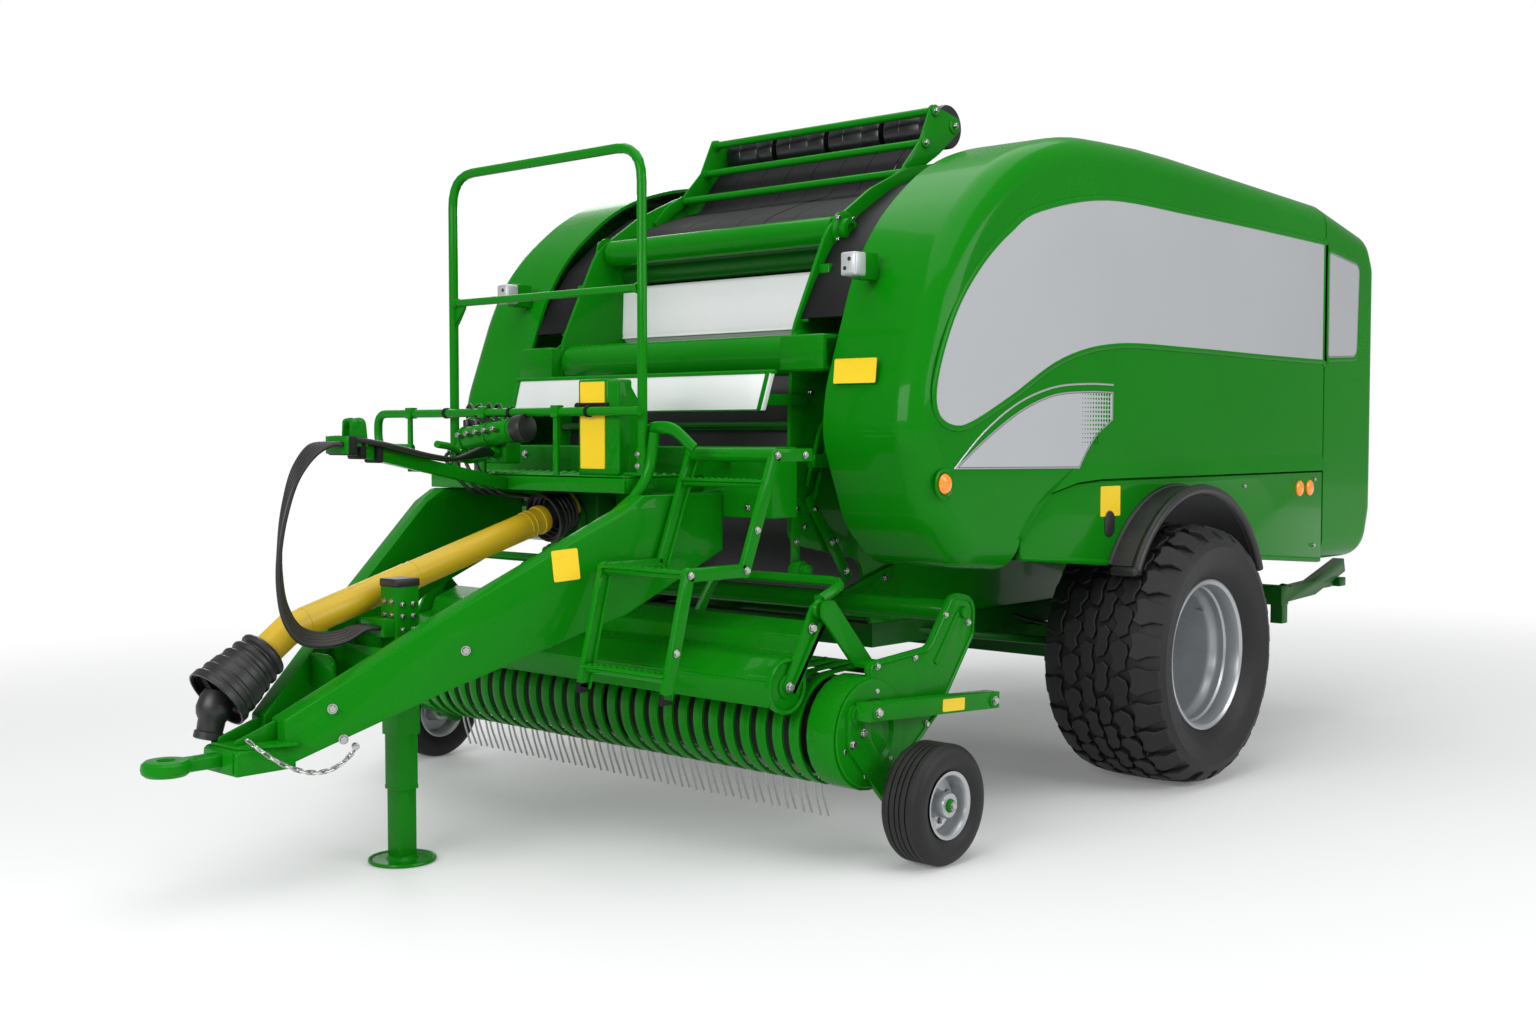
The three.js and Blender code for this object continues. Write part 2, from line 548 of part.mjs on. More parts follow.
// ---------- front crossbeam, deck, rails, ladder ----------
function addCrossbeam() {
  const { half, front, rear, bottom, top } = CROSSBEAM;
  const wallFace = CHAMBER.half + CHAMBER.wall + GAP;
  const beam = box(-half, half, front, rear, bottom, top);
  const lug = box(wallFace, wallFace + 14, rear - 5, -1540, bottom, top);
  place('front_crossbeam', join(beam, bothSides(lug)), GREEN);
}

function lowRail() {
  const rail = LOW_RAIL;
  const line = tube([
    [rail.post + 10, rail.y, rail.low], [rail.end, rail.y, rail.low], [rail.end, rail.y, rail.z],
    [rail.left, rail.y, rail.z],
  ], rail.radius, 50);
  const post = (x) => box(x, x + 26, rail.y - 14, rail.y + 14, DECK.top - 4, rail.z);
  const outrigger = box(rail.post, DECK.right + 60, rail.y - 14, rail.y + 14, DECK.top - 4, DECK.top + 30);
  return join(line, outrigger, post(rail.post), post(-300), post(120));
}

function addDeck() {
  const { front, left, right, top, thickness, lip } = DECK;
  const back = CROSSBEAM.front - GAP;
  const plate = box(right, left, front, back, top - thickness, top);
  const fold = box(right, left, front, front + thickness, top - lip, top);
  const rib = (x) => box(x, x + 12, front + 4, back, top - lip, top - 4);
  place('platform_deck', join(plate, fold, rib(right), rib(left - 12), lowRail()), GREEN);
}

function addRailings() {
  const { y, left, right, top, mid, radius, bend } = RAILING;
  const low = DECK.top + GAP;
  const hoop = tube([[right, y, low], [right, y, top], [left, y, top], [left, y, low]], radius, bend);
  const cross = rodX(right, left, y, mid, radius - 3, 10);
  const shoe = (x) => box(x - 34, x + 34, y - 24, y + 24, low, low + 10);
  const leftFoot = left > DECK.left ? box(DECK.left - 60, left + 18, y - 20, y + 20, low, low + 12) : shoe(left);
  place('guard_handrail', join(hoop, cross, shoe(right), leftFoot), GREEN);

  const { x0, x1, y0, y1, z1 } = LABEL_BOX;
  place('control_box', box(x0, x1, y0, y1, DECK.top + GAP, z1), GREEN);
}

function addLadder() {
  const { inner, outer, stile, depth, tread } = LADDER;
  const side = [[-2650, 615], [-2550, 1000], [-2290, 1000], [-2140, 1375], [CROSSBEAM.front - GAP, 1375]];
  const lower = strip(side.slice(0, 2), depth);
  const middle = strip(side.slice(1, 3), depth);
  const upper = strip(side.slice(2, 4), depth);
  const topPlate = strip(side.slice(3), depth);
  const frame = (x) => join(...[lower, middle, upper, topPlate].map((part) => alongX(part, x, x + stile)));
  const step = (y, z) => box(inner + 5, outer + 5, y - tread / 2, y + tread / 2, z - 15, z + 15);
  place('ladder', join(
    frame(inner), frame(outer), step(-2636, 680), step(-2550, 1000), step(-2180, 1280),
    rodX(inner + 5, outer + 5, -2140, 1375, 24, 12),
  ), GREEN);
}

// ---------- gearbox and drive shaft ----------
function bellows(length, narrow, wide, ribs) {
  const profile = [[0, 0]];
  for (let i = 0; i < ribs; i += 1) {
    const radius = narrow + ((wide - narrow) * i) / (ribs - 1);
    const at = (length * i) / ribs;
    profile.push([radius - 8, at], [radius, at + (length * 0.5) / ribs]);
  }
  profile.push([wide, length], [0, length]);
  return profile;
}

function addDriveline() {
  const { x0, x1, y0, z0, z1 } = GEARBOX;
  const y1 = CROSSBEAM.front - GAP;
  const { x, rearZ, tubeRear, tubeFront, tubeFrontZ, radius, elbow } = PTO;
  const casing = alongX(
    rounded([[y0, z0, 30], [y1, z0, 0], [y1, z1, 0], [y0, z1, 20]]),
    x0, x1,
  );
  place('gearbox', casing, GREEN);

  const at = (y, z) => new THREE.Vector3(x, y, z);
  const slope = (rearZ - tubeFrontZ) / (tubeRear - tubeFront);
  const axisPoint = (y) => at(y, rearZ + slope * (y - tubeRear));
  const { neck, narrow, wide, yoke } = BOOT;
  const bootRear = axisPoint(y0 - GAP - neck * Math.sin(Math.atan(slope)));
  const rearLength = bootRear.distanceTo(axisPoint(tubeRear)) - GAP;
  const rearFolds = bellows(rearLength - 50, 80, 98, 3).slice(1).map(([r, along]) => [r, along + 50]);
  place('drive_shaft_rear_boot',
    turnedBetween([[0, 0], [neck, 0], [neck, 50], ...rearFolds], bootRear, axisPoint(tubeRear)), BLACK);

  const bend = axisPoint(tubeFront);
  const bootEnd = at(BOOT.endY, BOOT.endZ);
  const down = bootEnd.clone().sub(bend).normalize();
  const tubeEnd = bend.clone().addScaledVector(down, elbow);
  place('drive_shaft_tube', tube([axisPoint(tubeRear), bend, tubeEnd], radius, 40, 14), YELLOW);
  const bootTop = tubeEnd.clone().addScaledVector(down, GAP);
  const boot = turnedBetween(bellows(bootTop.distanceTo(bootEnd), narrow, wide, 4), bootTop, bootEnd, 16);
  const joint = turnedBetween(
    [[0, -20], [52, -20], [60, 20], [54, 60], [40, 80], [40, yoke], [0, yoke]], bootEnd, at(-3590, 450), 10,
  );
  place('drive_shaft_front_boot', join(boot, joint), BLACK);
}

// ---------- hose arm and hoses ----------
function addHoseArm() {
  const { width, frontY, frontZ, rearX, rearY, rearZ } = ARM;
  const beam = bar([rearX, rearY - GAP, rearZ], [0, frontY, frontZ], width, width);
  const lug = (x) => alongX(
    rounded([[frontY + 20, frontZ, 0], [frontY + 90, frontZ, 0], [frontY + 80, frontZ + 95, 25],
      [frontY + 25, frontZ + 95, 25]]),
    x, x + 8,
  );
  const comb = box(-50, 70, frontY - COMB.front, frontY + 16, frontZ - 24, frontZ + 34);
  place('hose_arm', join(beam, lug(-26), lug(18), comb), GREEN);
}

// Each hose leaves the comb on the arm, hangs in a loop and goes into the holder in front of the jack.
function addHoses() {
  const { seat, radius, count, pitch, firstX, endY } = HOSE;
  const exitY = ARM.frontY - COMB.front - seat;
  const loop = [
    [exitY, 1412], [exitY - 40, 1412], [-3262, 1392], [-3322, 1320], [-3362, 1210], [-3384, 1090], [-3386, 970],
    [-3366, 870], [-3316, 800], [-3240, 775], [-3160, 778], [endY - 50, 800], [endY - GAP, 800],
  ];
  for (let i = 0; i < count; i += 1) {
    const wide = i - (count - 1) / 2;
    const points = loop.map(([y, z], k) => {
      const share = k < 2 || k > loop.length - 3 ? 0 : Math.sin((Math.PI * k) / (loop.length - 1));
      return new THREE.Vector3(firstX + i * pitch, y - wide * 14 * share, z - wide * 10 * share);
    });
    const curve = new THREE.CatmullRomCurve3(points, false, 'centripetal');
    const stations = curve.getSpacedPoints(Math.round(curve.getLength() / (6 * radius)));
    place(`hose_${i + 1}`, sweep(stations, radius, 8), RUBBER);
  }
}

// ---------- pickup ----------
function addPickupPivot() {
  const { y, z, tube: radius, pin, end } = PIVOT;
  const wallFace = CHAMBER.half + CHAMBER.wall + GAP;
  const beam = rodX(-end, end, y, z, radius, 16);
  const pins = rodX(-end - 62, end + 62, y, z, pin, 12);
  const lug = alongX(
    rounded([[y - 30, z - 50, 30], [-1060, z - 90, 0], [-1060, z + 130, 0], [y - 30, z + 50, 30]]),
    wallFace, wallFace + 20,
  );
  place('pickup_pivot_beam', join(beam, pins, bothSides(lug)), GREEN);
}

function addPickupSides() {
  const { y, z, radius, plateX, plate, canFrom } = DRUM;
  const pivot = PIVOT;
  const profile = rounded([
    [y - 6, z + radius - 2, 0], [y - 20, z + radius + 45, 30], [y + 330, z + radius + 70, 60],
    [pivot.y - 70, pivot.z + 78, 70], [pivot.y + 80, pivot.z + 50, 70], [pivot.y + 70, pivot.z - 90, 60],
    [y + 400, z + 20, 60], [y + 160, z - radius + 40, 80], [y, z - radius + 2, 0],
  ], 24);
  const panel = alongX(profile, plateX, plateX + plate);
  const can = rodX(canFrom, plateX + plate, y, z, radius, 24);
  const ear = alongX(
    rounded([[GUARD.y - 30, GUARD.z - 26, 24], [y + 40, z + radius + 20, 0], [y + 150, z + radius + 20, 0],
      [GUARD.y + 30, GUARD.z + 30, 24], [GUARD.y - 30, GUARD.z + 30, 24]]),
    canFrom + 5, canFrom + 17,
  );
  const shelf = box(canFrom + 5, plateX + 4, y + 40, y + 150, z + radius + 18, z + radius + 34);
  const guardPin = rodX(canFrom - 40, canFrom + 10, GUARD.y, GUARD.z, GUARD.pin, 10);
  const hole = rodX(plateX - 10, plateX + plate + 10, pivot.y, pivot.z, pivot.pin + 1, 16);
  placePair('pickup_side', cut(join(panel, can, ear, shelf, guardPin), hole), GREEN);
}

function addPickupBands() {
  const { y, z, radius, canFrom } = DRUM;
  const { count, width, thickness, half } = BAND;
  const line = [[y + 210, z + radius + 8], ...arc(y, z, radius - thickness / 2, 90, 270, 5), [y + 150, z - radius + 14]];
  const pitch = (2 * half - width) / (count - 1);
  const ring = strip(line, thickness);
  const bands = Array.from({ length: count }, (_, i) => {
    const x = -half + i * pitch;
    return alongX(ring, x, x + width);
  });
  const span = canFrom - GAP;
  const topBar = box(-span, span, y + 170, y + 230, z + radius - 26, z + radius + 8);
  const lowY = y + radius - 85;
  const lowBar = box(-span, span, lowY, lowY + 50, z - radius + 8, z - radius + 40);
  place('pickup_bands', join(bands, topBar, lowBar), GREEN);
}

function addPickupReel() {
  const { y, z, radius, canFrom } = DRUM;
  const { length, rod, shaft, bar: barSize, barInset, lean, spider, run } = TINE;
  const span = canFrom - GAP;
  const pitch = (2 * BAND.half - BAND.width) / (BAND.count - 1);
  const barRadius = radius - barInset;
  const [barY, barZ] = [y - lean / 2, z - barRadius];
  const disc = (x) => rodX(x, x + 12, y, z, barRadius + spider, 12);
  const seat = rodX(-span, span, barY, barZ, barSize + GAP, 8);
  const shaftParts = [rodX(-span, span, y, z, shaft, 10), disc(60 - span), disc(pitch / 2 - 6), disc(span - 72)];
  place('pickup_reel', cut(join(shaftParts), seat), STEEL);

  const parts = [rodX(run - span, span - run, barY, barZ, barSize, 8)];
  for (let i = 0; i < BAND.count - 1; i += 1) {
    const x = -BAND.half + BAND.width + i * pitch + (pitch - BAND.width) / 2;
    parts.push(bar([x, barY, barZ], [x, barY + lean, barZ - length], rod * 2, rod * 2));
  }
  place('tine_bar', join(parts), STEEL);
}

function addCropGuard() {
  const { y, z, discY, discZ, disc, discX, roller } = GUARD;
  const discs = bothSides(rodX(discX, discX + 12, discY, discZ, disc, 16));
  const drum = rodX(-discX - 6, discX + 6, discY, discZ, roller, 10);
  const plateLine = [[discY - 70, discZ - 60], [discY - 86, discZ + 20], [discY + 10, discZ + 84],
    [discY + 90, discZ + 96], [discY + 110, discZ + 150], [discY + 220, discZ + 190]];
  const plate = alongX(strip(plateLine, 8), -discX - 6, discX + 6);
  const armX = discX + 16;
  const arm = alongX(
    rounded([[discY - 34, discZ - 10, 30], [discY + 20, discZ - 34, 30], [y + 40, z - 10, 34],
      [y + 10, z + 40, 34], [y - 34, z + 10, 30]]),
    armX, armX + 14,
  );
  const boss = rodX(discX, armX + 4, discY, discZ, 40, 12);
  const hole = rodX(armX - 20, armX + 40, y, z, GUARD.pin + 1, 12);
  const hoopX = armX + 4;
  const hoop = tube([
    [hoopX, y + 20, z + 30], [hoopX, y + 150, z + 80], [430, y + 150, z + 80], [380, y + 60, z - 140],
  ], 19, 60, 8);
  const link = box(hoopX - 22, hoopX + 10, y + 12, y + 44, z + 4, z + 44);
  const side = join(cut(join(arm, boss), hole), cut(join(hoop, link), hole));
  place('crop_guard', join(discs, drum, plate, bothSides(side)), GREEN);
}

function addGaugeWheels() {
  const { bore } = GAUGE;
  const { x0, x1, plate, linkRear, linkFront, depth } = GAUGE_ARM;
  const face = DRUM.plateX + DRUM.plate + GAP;
  const link = alongX(
    strip([[linkFront - 20, 520], [linkRear, 475]], depth),
    x0, x1,
  );
  const drop = alongX(
    rounded([[linkFront - 50, 540, 40], [linkFront + 70, 545, 20], [linkFront + 60, 420, 60],
      [GAUGE.y + 40, GAUGE.radius + 10, 34], [GAUGE.y - 10, GAUGE.radius - 42, 34],
      [GAUGE.y - 45, GAUGE.radius - 10, 34], [linkFront - 60, 400, 80]]),
    face, face + plate,
  );
  const joint = rodX(face, x0 + 4, linkFront, 500, 40, 12);
  const stub = rodX(face + 4, GAUGE.x + 34, GAUGE.y, GAUGE.radius, bore - 1, 12);
  const rearFoot = box(face, x0 + 4, -1480, -1420, 462, 512);
  placePair('gauge_arm', join(link, drop, joint, stub, rearFoot), GREEN);

  const { seat, halfWidth, radius, rimHalf, sides } = GAUGE;
  const bead = rimHalf - 8;
  const half = [[seat, bead], [seat + 14, bead], [155, halfWidth], [192, 74], [radius, 50]];
  const tyre = turned([...half.map(([r, x]) => [r, -x]), ...half.reverse()], sides);
  const flange = [[seat - 0.4, bead + GAP], [seat + 11, bead + GAP], [seat + 11, rimHalf], [seat - 9, rimHalf]];
  const rim = turned([
    [bore, -40], [bore, 26], [44, 26], [44, 4], [97, 12], ...[...flange].reverse(),
    ...flange.map(([r, x]) => [r, -x]), [97, -6], [44, -40],
  ], sides);
  placePair('gauge_tyre', tyre, RUBBER, [GAUGE.x, GAUGE.y, radius]);
  placePair('gauge_rim', rim, SILVER, [GAUGE.x, GAUGE.y, radius]);
}

// ---------- tailgate ----------
const rearCorners = [
  [1000, 820, 0], [2120, 820, 160], [COVER.rearEdge, 1050, 200], [COVER.rearEdge, 2300, 160],
  [2110, 2450, 160], [COVER.seam, 2560, 0], [1000, 2580, 0],
];

function addTailgate() {
  const { skin, gap, bottom, step } = GATE;
  const half = CHAMBER.half + CHAMBER.wall;
  const front = CHAMBER.rear + gap;
  const rear = COVER.rearEdge - step;
  const outline = rounded([
    [front, bottom + 60, 0], [700, bottom, 60], [2040, bottom, 120], [rear, 1050, 200], [rear, 2300, 160],
    [2106, 2446, 160], [COVER.seam, 2560 - step, 0], [front + 90, 2560 - step, 0], [front, 2500, 0],
  ]);
  const body = alongX(outline, -half, half);
  const hollow = alongX(inset(outline, skin), -half + skin, half - skin);
  const mouth = box(-half + skin, half - skin, 0, front + 2 * skin, bottom + 80, 2500);
  const exit = box(-half + skin, half - skin, 0, 1700, 0, bottom + 2 * skin);
  const { hingeY, hingeZ, pin, ear, earThickness, side } = GATE;
  const earX = half + side;
  const earOutline = rounded([
    [hingeY - ear, hingeZ + ear, ear - 2], [hingeY + ear, hingeZ + ear, ear - 2], [hingeY + 170, hingeZ - 60, 20],
    [hingeY + 110, hingeZ - 120, 20], [hingeY - ear, hingeZ - ear, ear - 2],
  ]);
  const earPlate = alongX(earOutline, earX, earX + earThickness);
  const boss = box(half - 2, earX + 2, hingeY + 60, hingeY + 130, hingeZ - 90, hingeZ - 40);
  const hole = rodX(half - 10, earX + earThickness + 10, hingeY, hingeZ, pin + 1, 16);
  place('tailgate_shell', join(cut(body, hollow, mouth, exit), bothSides(cut(join(earPlate, boss), hole))), GREEN);

  const seam = COVER.seam + COVER.seamGap;
  const ahead = box(0, 2000, -100, seam, -100, 4000);
  const shellX = half + GAP;
  const corner = cut(coverShell(rounded(rearCorners, 26), shellX), ahead);
  placePair('rear_corner', corner, GREEN);
}

addMainWheels();
addAxle();
addChassis();
addSideDoors();
addSkirtsAndFenders();
addLiners();
addChamber();
addChamberFront();
addRollMagazine();
addDrawbar();
addJack();
addCrossbeam();
addDeck();
addRailings();
addLadder();
addDriveline();
addHoseArm();
addHoses();
addPickupPivot();
addPickupSides();
addPickupBands();
addPickupReel();
addCropGuard();
addGaugeWheels();
addTailgate();

const baler = new THREE.Group();
baler.name = 'round_baler';
baler.add(machine);

export default baler;
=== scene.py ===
import math
import random

import bpy
from mathutils import Matrix, Vector


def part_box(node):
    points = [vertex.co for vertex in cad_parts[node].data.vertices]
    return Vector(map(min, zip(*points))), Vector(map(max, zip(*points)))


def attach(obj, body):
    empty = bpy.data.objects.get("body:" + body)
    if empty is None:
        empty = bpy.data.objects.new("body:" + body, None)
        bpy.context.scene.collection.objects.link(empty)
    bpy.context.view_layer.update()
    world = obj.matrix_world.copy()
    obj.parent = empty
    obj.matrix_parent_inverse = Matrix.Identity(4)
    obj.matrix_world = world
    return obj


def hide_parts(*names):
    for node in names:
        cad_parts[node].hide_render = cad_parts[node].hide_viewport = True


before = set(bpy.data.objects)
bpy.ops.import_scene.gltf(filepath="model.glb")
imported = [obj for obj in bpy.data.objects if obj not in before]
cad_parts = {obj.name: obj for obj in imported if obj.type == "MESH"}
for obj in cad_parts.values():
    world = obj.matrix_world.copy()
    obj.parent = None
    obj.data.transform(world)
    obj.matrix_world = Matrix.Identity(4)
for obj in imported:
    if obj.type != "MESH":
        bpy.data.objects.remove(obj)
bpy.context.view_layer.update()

# Machine frame: X across the machine, Y forward to back from the axle, Z up, in metres.
# The shared frame has its origin at the middle of the length, so machine Y is moved by SHIFT.
RIM_LOW, RIM_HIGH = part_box("main_rim_left")
SHIFT = (RIM_LOW.y + RIM_HIGH.y) / 2
SMOOTH = math.radians(35)
BEND_STEPS = 6
SIDES = ((1, "left"), (-1, "right"))

scene = bpy.context.scene
scene.view_settings.view_transform = "Standard"


# ---------------- selection and small helpers
def clear():
    if bpy.context.object and bpy.context.object.mode != "OBJECT":
        bpy.ops.object.mode_set(mode="OBJECT")
    bpy.ops.object.select_all(action="DESELECT")


def pick(obj):
    clear()
    obj.select_set(True)
    bpy.context.view_layer.objects.active = obj
    return obj


def edit(obj, mode="FACE"):
    pick(obj)
    bpy.ops.object.mode_set(mode="EDIT")
    bpy.ops.mesh.select_mode(type=mode)
    bpy.ops.mesh.select_all(action="SELECT")


def done(obj):
    bpy.ops.object.mode_set(mode="OBJECT")
    return obj


def choose(obj, kind, test):
    """Edit mode with only the edges or faces that pass the test selected."""
    edit(obj, kind)
    bpy.ops.mesh.select_all(action="DESELECT")
    done(obj)
    for item in obj.data.edges if kind == "EDGE" else obj.data.polygons:
        item.select = test(item)
    pick(obj)
    bpy.ops.object.mode_set(mode="EDIT")


def break_edges(obj, axis, least, offset, segments):
    """Bevels the edges whose two ends lie past a distance on an axis."""
    vertices = obj.data.vertices
    choose(obj, "EDGE", lambda item: all(vertices[v].co[axis] > least for v in item.vertices))
    bpy.ops.mesh.bevel(offset=offset, segments=segments, affect="EDGES")
    return done(obj)


def settle(obj, name=None):
    """Puts the object's place into its mesh."""
    pick(obj)
    bpy.ops.object.transform_apply(location=True, rotation=True, scale=True)
    if name:
        obj.name = name
    return obj


def at(x, y, z):
    return Vector((x, y + SHIFT, z))


def smooth(obj, angle=SMOOTH):
    pick(obj)
    bpy.ops.object.shade_smooth_by_angle(angle=angle)
    return obj


def apply(obj, kind, **values):
    pick(obj)
    modifier = obj.modifiers.new(kind.lower(), kind)
    for key, value in values.items():
        setattr(modifier, key, value)
    bpy.ops.object.modifier_apply(modifier=modifier.name)
    return obj


def soften(obj, width, segments=2, angle=30):
    """Rounds every edge sharper than the angle."""
    apply(obj, "BEVEL", width=width, segments=segments, limit_method="ANGLE", angle_limit=math.radians(angle),
          use_clamp_overlap=True, miter_outer="MITER_ARC" if segments > 2 else "MITER_SHARP")
    return smooth(obj)


def join(name, objects):
    clear()
    for o in objects:
        o.select_set(True)
    bpy.context.view_layer.objects.active = objects[0]
    if len(objects) > 1:
        bpy.ops.object.join()
    objects[0].name = name
    return objects[0]


def copy(obj, matrix):
    twin = obj.copy()
    twin.data = obj.data.copy()
    scene.collection.objects.link(twin)
    twin.data.transform(matrix)
    return twin


def outward(obj, merge=1e-5):
    edit(obj)
    bpy.ops.mesh.remove_doubles(threshold=merge)
    bpy.ops.mesh.normals_make_consistent(inside=False)
    return done(obj)


def flip_across(obj):
    """Moves a left-hand piece to the right of the machine."""
    obj.data.transform(Matrix.Scale(-1, 4, (1, 0, 0)))
    edit(obj)
    bpy.ops.mesh.flip_normals()
    return done(obj)


def span(side, near, far):
    """Two distances from the machine's middle as low and high X on a side."""
    return sorted((side * near, side * far))


def along(direction, origin=(0, 0, 0)):
    """The matrix that stands +Z on a direction, at an origin."""
    return Matrix.Translation(origin) @ Vector(direction).to_track_quat("Z", "Y").to_matrix().to_4x4()


# ---------------- outlines
def rounded(corners, per_turn=40):
    """Corners (u, v, radius) as a polygon whose corners are arcs."""
    points = []
    count = len(corners)
    for i, corner in enumerate(corners):
        here = Vector(corner[:2])
        radius = corner[2] if len(corner) > 2 else 0
        back = (Vector(corners[i - 1][:2]) - here).normalized()
        ahead = (Vector(corners[(i + 1) % count][:2]) - here).normalized()
        half = math.acos(max(-1, min(1, back.dot(ahead)))) / 2
        turn = math.pi - 2 * half
        if radius == 0 or turn < 0.02:
            points.append(here)
            continue
        start = here + back * (radius / math.tan(half))
        centre = here + (back + ahead).normalized() * (radius / math.sin(half))
        spoke = start - centre
        way = 1 if spoke.cross(here + ahead * (radius / math.tan(half)) - centre) > 0 else -1
        steps = max(2, round(turn / math.tau * per_turn))
        for k in range(steps + 1):
            angle = way * turn * k / steps
            c, s = math.cos(angle), math.sin(angle)
            points.append(centre + Vector((spoke.x * c - spoke.y * s, spoke.x * s + spoke.y * c)))
    return points


def through(points, steps=6, closed=True):
    """A smooth line through points (Catmull-Rom), as a list of vectors."""
    line = [Vector(p) for p in points]
    count = len(line)
    out = []
    for i in range(count if closed else count - 1):
        if closed:
            a, b, c, d = (line[(i + k) % count] for k in (-1, 0, 1, 2))
        else:
            a, b, c, d = (line[min(max(i + k, 0), count - 1)] for k in (-1, 0, 1, 2))
        for k in range(steps):
            t = k / steps
            out.append(0.5 * (2 * b + (c - a) * t + (2 * a - 5 * b + 4 * c - d) * t * t
                              + (3 * b - a - 3 * c + d) * t ** 3))
    if not closed:
        out.append(line[-1])
    return out


def ribbon(path, thickness):
    """The outline of a strip of even thickness along a line of points."""
    line = [Vector(p[:2]) for p in path]
    sides = ([], [])
    for i, point in enumerate(line):
        into = (point - line[i - 1]).normalized() if i else (line[1] - point).normalized()
        out = (line[i + 1] - point).normalized() if i < len(line) - 1 else into
        normal = (into + out).normalized()
        reach = thickness / 2 / max(normal.dot(into), 0.3)
        for side, sign in zip(sides, (1, -1)):
            side.append(point + Vector((-normal.y, normal.x)) * reach * sign)
    return sides[0] + sides[1][::-1]


def both_sides(half):
    """Half a profile of (radius, distance) with its mirror image; a point on the middle stays single."""
    return half + [(r, -d) for r, d in reversed(half) if d]


def arc(u, v, radius, start, end, steps):
    angles = [math.radians(start + (end - start) * k / steps) for k in range(steps + 1)]
    return [(u + radius * math.cos(a), v + radius * math.sin(a)) for a in angles]


# ---------------- modelled starts
PLANES = {
    "X": lambda u, v, w: at(w, u, v),  # outline in (y, z), depth along X
    "Y": lambda u, v, w: at(u, w, v),  # outline in (x, z), depth along Y
    "Z": lambda u, v, w: at(u, v, w),  # outline in (x, y), depth along Z
}


def plate(name, outline, axis, start, end, bevel=0.002, segments=2):
    """A flat outline drawn from a ring of vertices, extruded along an axis, its edges rounded."""
    clear()
    bpy.ops.mesh.primitive_circle_add(vertices=len(outline), fill_type="NGON")
    obj = bpy.context.object
    for vertex, point in zip(obj.data.vertices, outline):
        vertex.co = PLANES[axis](point[0], point[1], start)
    edit(obj)
    step = PLANES[axis](0, 0, end) - PLANES[axis](0, 0, start)
    bpy.ops.mesh.extrude_region_move(TRANSFORM_OT_translate={"value": step})
    bpy.ops.mesh.select_all(action="SELECT")
    bpy.ops.mesh.normals_make_consistent(inside=False)
    done(obj)
    obj.name = name
    if bevel:
        soften(obj, bevel, segments)
    return obj


def block(name, low, high, bevel=0.003, segments=2):
    """A cube between two machine-frame corners, its edges rounded."""
    low, high = at(*low), at(*high)
    clear()
    bpy.ops.mesh.primitive_cube_add(size=1, location=(low + high) / 2, scale=high - low)
    obj = settle(bpy.context.object, name)
    edit(obj, "EDGE")
    bpy.ops.mesh.bevel(offset=bevel, segments=segments, affect="EDGES", clamp_overlap=True)
    done(obj)
    return smooth(obj)


def rod(name, start, end, radius, sides=24, bevel=0.002, tip=None):
    """A round bar between two points, its end edges rounded."""
    start, end = at(*start), at(*end)
    clear()
    bpy.ops.mesh.primitive_cone_add(vertices=sides, radius1=radius, radius2=radius if tip is None else tip,
                                    depth=(end - start).length)
    obj = bpy.context.object
    obj.data.transform(along(end - start, (start + end) / 2))
    obj.name = name
    return soften(obj, bevel, 2) if bevel else smooth(obj)


def bent(points, bend):
    """Corner points as a line whose inner corners are bent to a radius."""
    line = [Vector(p) for p in points]
    out = [line[0]]
    for before, here, after in zip(line, line[1:], line[2:]):
        back, ahead = (before - here), (after - here)
        reach = min(bend, back.length * 0.48, ahead.length * 0.48)
        start, end = here + back.normalized() * reach, here + ahead.normalized() * reach
        for k in range(BEND_STEPS + 1):
            t = k / BEND_STEPS
            out.append(start * (1 - t) ** 2 + here * 2 * t * (1 - t) + end * t * t)
    return out + [line[-1]]


def round_curve(name, line, radius, resolution, closed=False):
    """A round curve through shared-frame points, capped where it is open."""
    clear()
    bpy.ops.curve.primitive_nurbs_path_add()
    obj = bpy.context.object
    obj.name = name
    obj.location = (0, 0, 0)
    obj.data.splines.clear()
    spline = obj.data.splines.new("POLY")
    spline.points.add(len(line) - 1)
    for point, co in zip(spline.points, line):
        point.co = (*co, 1)
    spline.use_cyclic_u = closed
    obj.data.bevel_depth = radius
    obj.data.bevel_resolution = resolution
    obj.data.use_fill_caps = not closed
    return obj


def tube(name, points, radius, sides=14, bend=0, closed=False):
    """A round tube along machine-frame points, its inner corners bent to a radius."""
    line = [at(*p) for p in (bent(points, bend) if bend else points)]
    pick(round_curve(name, line, radius, max(1, sides // 4 - 1), closed))
    bpy.ops.object.convert(target="MESH")
    return smooth(bpy.context.object, math.radians(50))


def turned(name, profile, origin, direction=(1, 0, 0), steps=48):
    """A closed profile of (radius, distance) spun about an axis through the origin."""
    clear()
    bpy.ops.mesh.primitive_circle_add(vertices=len(profile), fill_type="NOTHING")
    obj = bpy.context.object
    for vertex, (radius, distance) in zip(obj.data.vertices, profile):
        vertex.co = (radius, 0, distance)
    edit(obj)
    bpy.ops.mesh.spin(steps=steps, angle=math.tau, center=(0, 0, 0), axis=(0, 0, 1))
    done(obj)
    obj.data.transform(along(direction, at(*origin)))
    obj.name = name
    outward(obj, 1e-4)
    return smooth(obj, math.radians(32))


def carve(obj, *cutters):
    for cutter in cutters:
        apply(obj, "BOOLEAN", object=cutter, operation="DIFFERENCE", solver="EXACT")
        bpy.data.objects.remove(cutter)
    return obj


def assigned(obj, body, slot, *nodes):
    """Puts the piece under its body and hides the frame nodes it stands for; the slot is not used."""
    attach(obj, body)
    if nodes:
        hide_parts(*nodes)
    return obj


